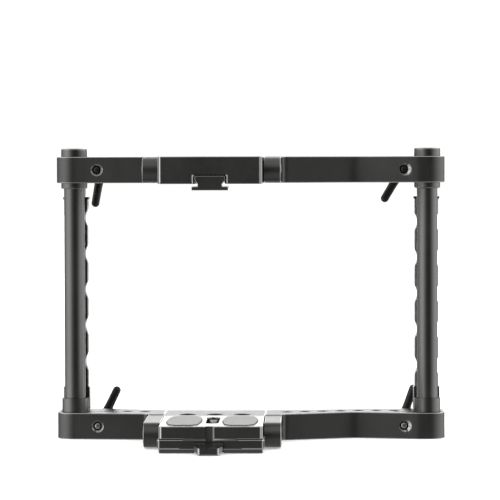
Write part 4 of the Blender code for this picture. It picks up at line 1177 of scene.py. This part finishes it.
def make_side_bar(side_name):
    node = side_name + "_side_bar"
    x = middle(node).x
    rear = high(node).y
    front = rear - BAR_DEPTH
    mid_z = SCALLOP_MID_Z[side_name]
    screws = [middle(f"{side_name}_{place}_bar_screw") for place in ("lower", "upper")]

    def bar(bm):
        outline = mirrored(side_bar_edge(mid_z, node))
        add_prism(bm, [(x + out, z) for out, z in outline], front, rear, "Y")

    def bosses(bm):
        for screw in screws:
            add_rod(bm, BAR_BOSS_RADIUS, low(node).y, front + PAST, "Y", (x, 0, screw.z))

    def holes(bm):
        for k in range(SCALLOPS - 1):
            z = mid_z + (k - (SCALLOPS - 2) / 2) * SCALLOP_PITCH
            threaded_bore(bm, SMALL_THREAD, front, rear, (x, 0, z), "Y")

    def screw_bores(bm):
        radius, depth = BAR_SCREW_SEAT
        end, seat = low(node).y - PAST, rear - depth
        profile = [(0, end), (BAR_SCREW_BORE, end), (BAR_SCREW_BORE, seat), (radius, seat)]
        profile += mouthed(radius, rear, 1, MOUTH)
        for screw in screws:
            add_turned(bm, profile, "Y", (x, 0, screw.z), SMALL_ROUND)

    joins = [solid(node + "_bosses", ANODISED, bosses)]
    cuts = cutters(node, ANODISED, holes, screw_bores)
    piece(node, "anodised", ANODISED, bar, joins, cuts, bevel=BAR_EDGE)


# Clamp levers

LEVER_ANGLES = {  # turn about +Y from straight up
    "top_left": math.radians(190),
    "top_right": math.radians(210.5),
    "base_left": math.radians(26),
    "base_right": math.radians(19),
}
LEVER_SEAT_Y = ARM_REAR_Y + 1.4 * MM
LEVER_SCREW = (0.9, 2.4, 1.6, 1.2)
LEVER_SPRING = (0.22 * MM, 3.5)  # wire radius and turns
STUD_RADIUS = 2 * MM
STUD_TIP = (  # share of the radius, distance from the tip
    (0, 0),
    (0.55, 0.08 * MM, RIM),
    (0.85, 0.35 * MM, RIM),
    (1, 0.8 * MM),
)
STUD_THREAD_Y = (1.0 * MM, 12 * MM)  # from the tip
STUD_PITCH, STUD_GROOVE = 0.8 * MM, 0.3 * MM
SPLINE_TEETH = 24
SPLINE_ROOT, SPLINE_CREST = 2.3 * MM, 2.55 * MM
SPLINE_BORE = 1.2 * MM


def make_stud(corner, centre):
    """The threaded stud, its tip in the arm's front, with splines for the handle at its rear."""
    node = corner + "_stud"
    start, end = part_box(node)
    radius = STUD_RADIUS
    neck = LEVER_SEAT_Y + 0.2 * MM
    bore_end = LEVER_SEAT_Y + 0.4 * MM

    def body(bm):
        profile = [(share * radius, start.y + along, *index) for share, along, *index in STUD_TIP]
        first, last = STUD_THREAD_Y
        spot = start.y + first
        while spot + STUD_PITCH < start.y + last:
            profile.append((radius - STUD_GROOVE, spot + 0.35 * STUD_PITCH))
            profile.append((radius, spot + 0.75 * STUD_PITCH))
            spot += STUD_PITCH
        profile += [(radius, neck), (0, neck)]
        add_turned(bm, profile, "Y", centre, SMALL_ROUND)

    def spline(bm):
        shape = []
        for k in range(2 * SPLINE_TEETH):
            out = SPLINE_CREST if k % 2 else SPLINE_ROOT
            angle = math.pi * k / SPLINE_TEETH
            shape.append((centre[0] + out * math.cos(angle), centre[2] + out * math.sin(angle)))
        add_prism(bm, shape, LEVER_SEAT_Y, end.y, "Y")

    def bore(bm):
        add_rod(bm, SPLINE_BORE, bore_end, end.y + PAST, "Y", centre)

    # The upper studs take the darker finish, which is painted shade.
    finish = STUDS[corner.split("_")[0]]
    joins = [solid(node + "_spline", finish, spline)]
    piece(node, "steel", finish, body, joins, cutters(node, finish, bore))


def make_lever(corner):
    """The stud, the washer, the ratchet handle and its screw and spring."""
    stud = middle(corner + "_stud")
    centre = (stud.x, 0, stud.z)
    make_stud(corner, centre)
    make_ring(corner + "_washer", "Y", centre, STUD_RADIUS + WASHER_PLAY)
    make_handle(corner, centre)
    make_cap_screw(corner + "_lever_screw", "Y", 1, LEVER_SCREW)
    make_coil(corner + "_lever_spring", "Y", *LEVER_SPRING)


HUB_RADIUS = 4.4 * MM
HUB_CORNER = 0.3 * MM
HUB_ROUNDING = ((0, 0.9 * MM), (0.25 * MM, 0.4 * MM), (0.7 * MM, 0.08 * MM))  # in, down
HUB_TOP_INSET = 1.1 * MM
HUB_WELL, HUB_WELL_MOUTH = 2.7 * MM, 0.05 * MM
HUB_BORE = 1.2 * MM
HUB_SPLINES = 2.9 * MM
HUB_WEB = (2.4 * MM, 3.2 * MM)  # between the splines and the well, from the seat
GRIP_LENGTH = 20.5 * MM
GRIP_START = 3.1 * MM
GRIP_TIP = 2.15 * MM
GRIP_WAIST = 0.25 * MM  # the grip's root is this much thinner than its tip
GRIP_FLARE, GRIP_FLARE_RATE = 1.0 * MM, 7
GRIP_TAPER = 0.35 * MM
GRIP_SIDES = 48


def make_handle(corner, centre):
    """The hub and the grip that flares into it."""
    node = corner + "_handle"
    rear = high(node).y
    seat = LEVER_SEAT_Y
    turn = LEVER_ANGLES[corner]
    mid_y = 0.5 * (seat + rear)
    web_low, web_high = (seat + height for height in HUB_WEB)

    def hub_body(bm):
        profile = [(HUB_RADIUS - HUB_CORNER, seat, RIM), (HUB_RADIUS, seat + HUB_CORNER)]
        profile += [(HUB_RADIUS - inset, rear - drop, RIM) for inset, drop in HUB_ROUNDING]
        profile += [
            (HUB_RADIUS - HUB_TOP_INSET, rear),
            (HUB_WELL + HUB_WELL_MOUTH, rear),
            (HUB_WELL, rear - 2 * HUB_WELL_MOUTH),
            (HUB_WELL, web_high),
            (HUB_BORE, web_high),
            (HUB_BORE, web_low),
            (HUB_SPLINES, web_low),
            (HUB_SPLINES, seat),
        ]
        add_turned(bm, profile, "Y", sides=ROUND)

    def grip(bm):
        profile = [(0, GRIP_START)]
        steps, tip_steps = 18, 9
        for k in range(steps + 1):
            share = k / steps
            along = GRIP_START + share * (GRIP_LENGTH - GRIP_TIP - GRIP_START)
            flare = GRIP_FLARE * math.exp(-share * GRIP_FLARE_RATE) + GRIP_TAPER * (1 - share)
            profile.append((GRIP_TIP - GRIP_WAIST + flare + GRIP_WAIST * share, along))
        for k in range(1, tip_steps):
            angle = math.radians(90 * k / tip_steps)
            along = GRIP_LENGTH - GRIP_TIP + GRIP_TIP * math.sin(angle)
            profile.append((GRIP_TIP * math.cos(angle), along))
        profile.append((0, GRIP_LENGTH))
        add_turned(bm, profile, "Z", (0, mid_y, 0), GRIP_SIDES)

    joins = [solid(node + "_grip", LEVER, grip, at=centre, turn_y=turn)]
    piece(node, "lever", LEVER, hub_body, joins, crease=50, at=centre, turn_y=turn)


# The whole object

LEG_SCREW = (1.6, 2.9, 2.5, 2.3)
SHOE_SCREW = (2.0, 2.0, 2.0, 3.0)
BUTTON_SPRING = (0.2 * MM, 5.5)  # wire radius and turns


def make_object():
    for level in LEVEL_Z:
        for side_name, (side, *_) in ARMS.items():
            corner = f"{level}_{side_name}"
            make_arm(level, side_name)
            make_lever(corner)
            for place in ("front", "rear"):
                make_cap_screw(f"{corner}_{place}_leg_screw", "X", side, LEG_SCREW)
    make_base_block()
    make_top_block()
    make_camera_plate()
    make_pad("left_pad")
    make_pad("right_pad")
    make_button()
    make_coil("button_spring", "Y", *BUTTON_SPRING)
    make_camera_screw()
    make_slot_washer()
    make_shoe_foot()
    make_cap_screw("shoe_lock_screw", "Z", 1, SHOE_SCREW)
    make_post("left")
    make_post("right")


make_object()


# Floor, light and camera

FLOOR_HALF = 6.0
FLOOR_DROP = 0.05 * MM
FLOOR_COLOUR = (0.92, 0.92, 0.92, 1)
FLOOR_GLOW = 0.35
WHITE = (1, 1, 1, 1)
BRIGHTEST = 3.4
SOFTBOXES = (  # azimuth from the front, clockwise from above, and brightness
    (-180, 3.0),
    (-169, 3.0),
    (-157, 0.5),
    (-128, 0.5),
    (-104, 2.2),
    (-72, BRIGHTEST),
    (-48, 3.0),
    (-30, 1.2),
    (-12, 0.3),
    (12, 0.15),
    (32, 0.2),
    (52, 1.2),
    (72, 2.3),
    (92, 3.0),
    (112, 3.0),
    (128, 2.0),
    (142, 0.5),
    (157, 0.4),
    (169, 3.0),
    (180, 3.0),
)
CEILING = (0.3, 0.7, 1.5)  # the direction's Z from start to end, and brightness
GROUND = (-0.1, -0.6, 0.85)
BACKDROP = 1.1
CAMERA_LENS = 190.8  # mm, on a sensor 36 mm wide
CAMERA_PLACE = Vector((49.34, -1363.36, 147.67)) * MM
CAMERA_YAW, CAMERA_DOWN, CAMERA_ROLL = 1.25, 1.91, -0.15  # degrees


def make_floor():
    """A plain pale floor that carries the object's soft shadow."""
    outline = box_outline(-FLOOR_HALF, FLOOR_HALF, -FLOOR_HALF, FLOOR_HALF)
    mesh = bpy.data.meshes.new("floor")
    mesh.from_pydata([(x, y, -FLOOR_DROP) for x, y in outline], [], [(0, 1, 2, 3)])
    obj = add_object("floor", mesh)
    made = bpy.data.materials.new("floor_white")
    made.use_nodes = True
    shader = made.node_tree.nodes["Principled BSDF"]
    set_inputs(shader, Base_Color=FLOOR_COLOUR, Roughness=0.9, Specular_IOR_Level=0.0)
    set_inputs(shader, Emission_Color=WHITE, Emission_Strength=FLOOR_GLOW)
    mesh.materials.append(made)
    obj.visible_glossy = False


def make_light():
    """A white studio: two broad softboxes beside the object with dark cloth between them, and a
    white ceiling."""
    world = bpy.data.worlds.new("studio")
    bpy.context.scene.world = world
    world.use_nodes = True
    nodes, link = world.node_tree.nodes, world.node_tree.links.new
    nodes.clear()
    place = nodes.new("ShaderNodeTexCoord")
    split = nodes.new("ShaderNodeSeparateXYZ")
    link(place.outputs["Generated"], split.inputs["Vector"])
    flip = nodes.new("ShaderNodeMath")
    flip.operation = "MULTIPLY"
    flip.inputs[1].default_value = -1
    link(split.outputs["Y"], flip.inputs[0])
    turn = nodes.new("ShaderNodeMath")
    turn.operation = "ARCTAN2"
    link(split.outputs["X"], turn.inputs[0])
    link(flip.outputs["Value"], turn.inputs[1])
    share = nodes.new("ShaderNodeMapRange")
    set_inputs(share, From_Min=-math.pi, From_Max=math.pi)
    link(turn.outputs["Value"], share.inputs["Value"])
    ramp = nodes.new("ShaderNodeValToRGB")
    ramp.color_ramp.interpolation = "EASE"
    elements = ramp.color_ramp.elements
    while len(elements) > 1:
        elements.remove(elements[-1])
    for k, (azimuth, brightness) in enumerate(SOFTBOXES):
        position = (azimuth + 180) / 360
        element = elements[0] if k == 0 else elements.new(position)
        element.position = position
        level = brightness / BRIGHTEST
        element.color = (level, level, level, 1)
    link(share.outputs["Result"], ramp.inputs["Fac"])

    def towards(source, start, end, brightness):
        """Blends to an even brightness as the direction's Z goes from start to end."""
        fade = nodes.new("ShaderNodeMapRange")
        fade.interpolation_type = "SMOOTHSTEP"
        set_inputs(fade, From_Min=start, From_Max=end)
        link(split.outputs["Z"], fade.inputs["Value"])
        mixed = nodes.new("ShaderNodeMix")
        mixed.data_type = "RGBA"
        level = brightness / BRIGHTEST
        set_inputs(mixed, B=(level, level, level, 1))
        link(fade.outputs["Result"], mixed.inputs["Factor"])
        link(source, mixed.inputs["A"])
        return mixed.outputs["Result"]

    sides = towards(ramp.outputs["Color"], *CEILING)
    everything = towards(sides, *GROUND)
    lamp = nodes.new("ShaderNodeBackground")
    set_inputs(lamp, Strength=BRIGHTEST)
    link(everything, lamp.inputs["Color"])
    backdrop = nodes.new("ShaderNodeBackground")
    set_inputs(backdrop, Color=WHITE, Strength=BACKDROP)
    seen = nodes.new("ShaderNodeLightPath")
    chosen = nodes.new("ShaderNodeMixShader")
    link(seen.outputs["Is Camera Ray"], chosen.inputs["Fac"])
    link(lamp.outputs["Background"], chosen.inputs[1])
    link(backdrop.outputs["Background"], chosen.inputs[2])
    output = nodes.new("ShaderNodeOutputWorld")
    link(chosen.outputs["Shader"], output.inputs["Surface"])
    bpy.context.scene.view_settings.view_transform = "Standard"


def make_camera():
    """A long lens from the front, a little right of the middle and just above the upper crossbar."""
    data = bpy.data.cameras.new("camera")
    data.lens = CAMERA_LENS
    data.sensor_width = 36
    data.clip_end = 100
    obj = add_object("camera", data)
    place = Matrix.Translation(CAMERA_PLACE)
    yaw = Matrix.Rotation(math.radians(CAMERA_YAW), 4, "Z")
    pitch = Matrix.Rotation(math.radians(90 - CAMERA_DOWN), 4, "X")
    roll = Matrix.Rotation(math.radians(CAMERA_ROLL), 4, "Z")
    obj.matrix_world = place @ yaw @ pitch @ roll
    bpy.context.scene.camera = obj


make_floor()
make_light()
make_camera()
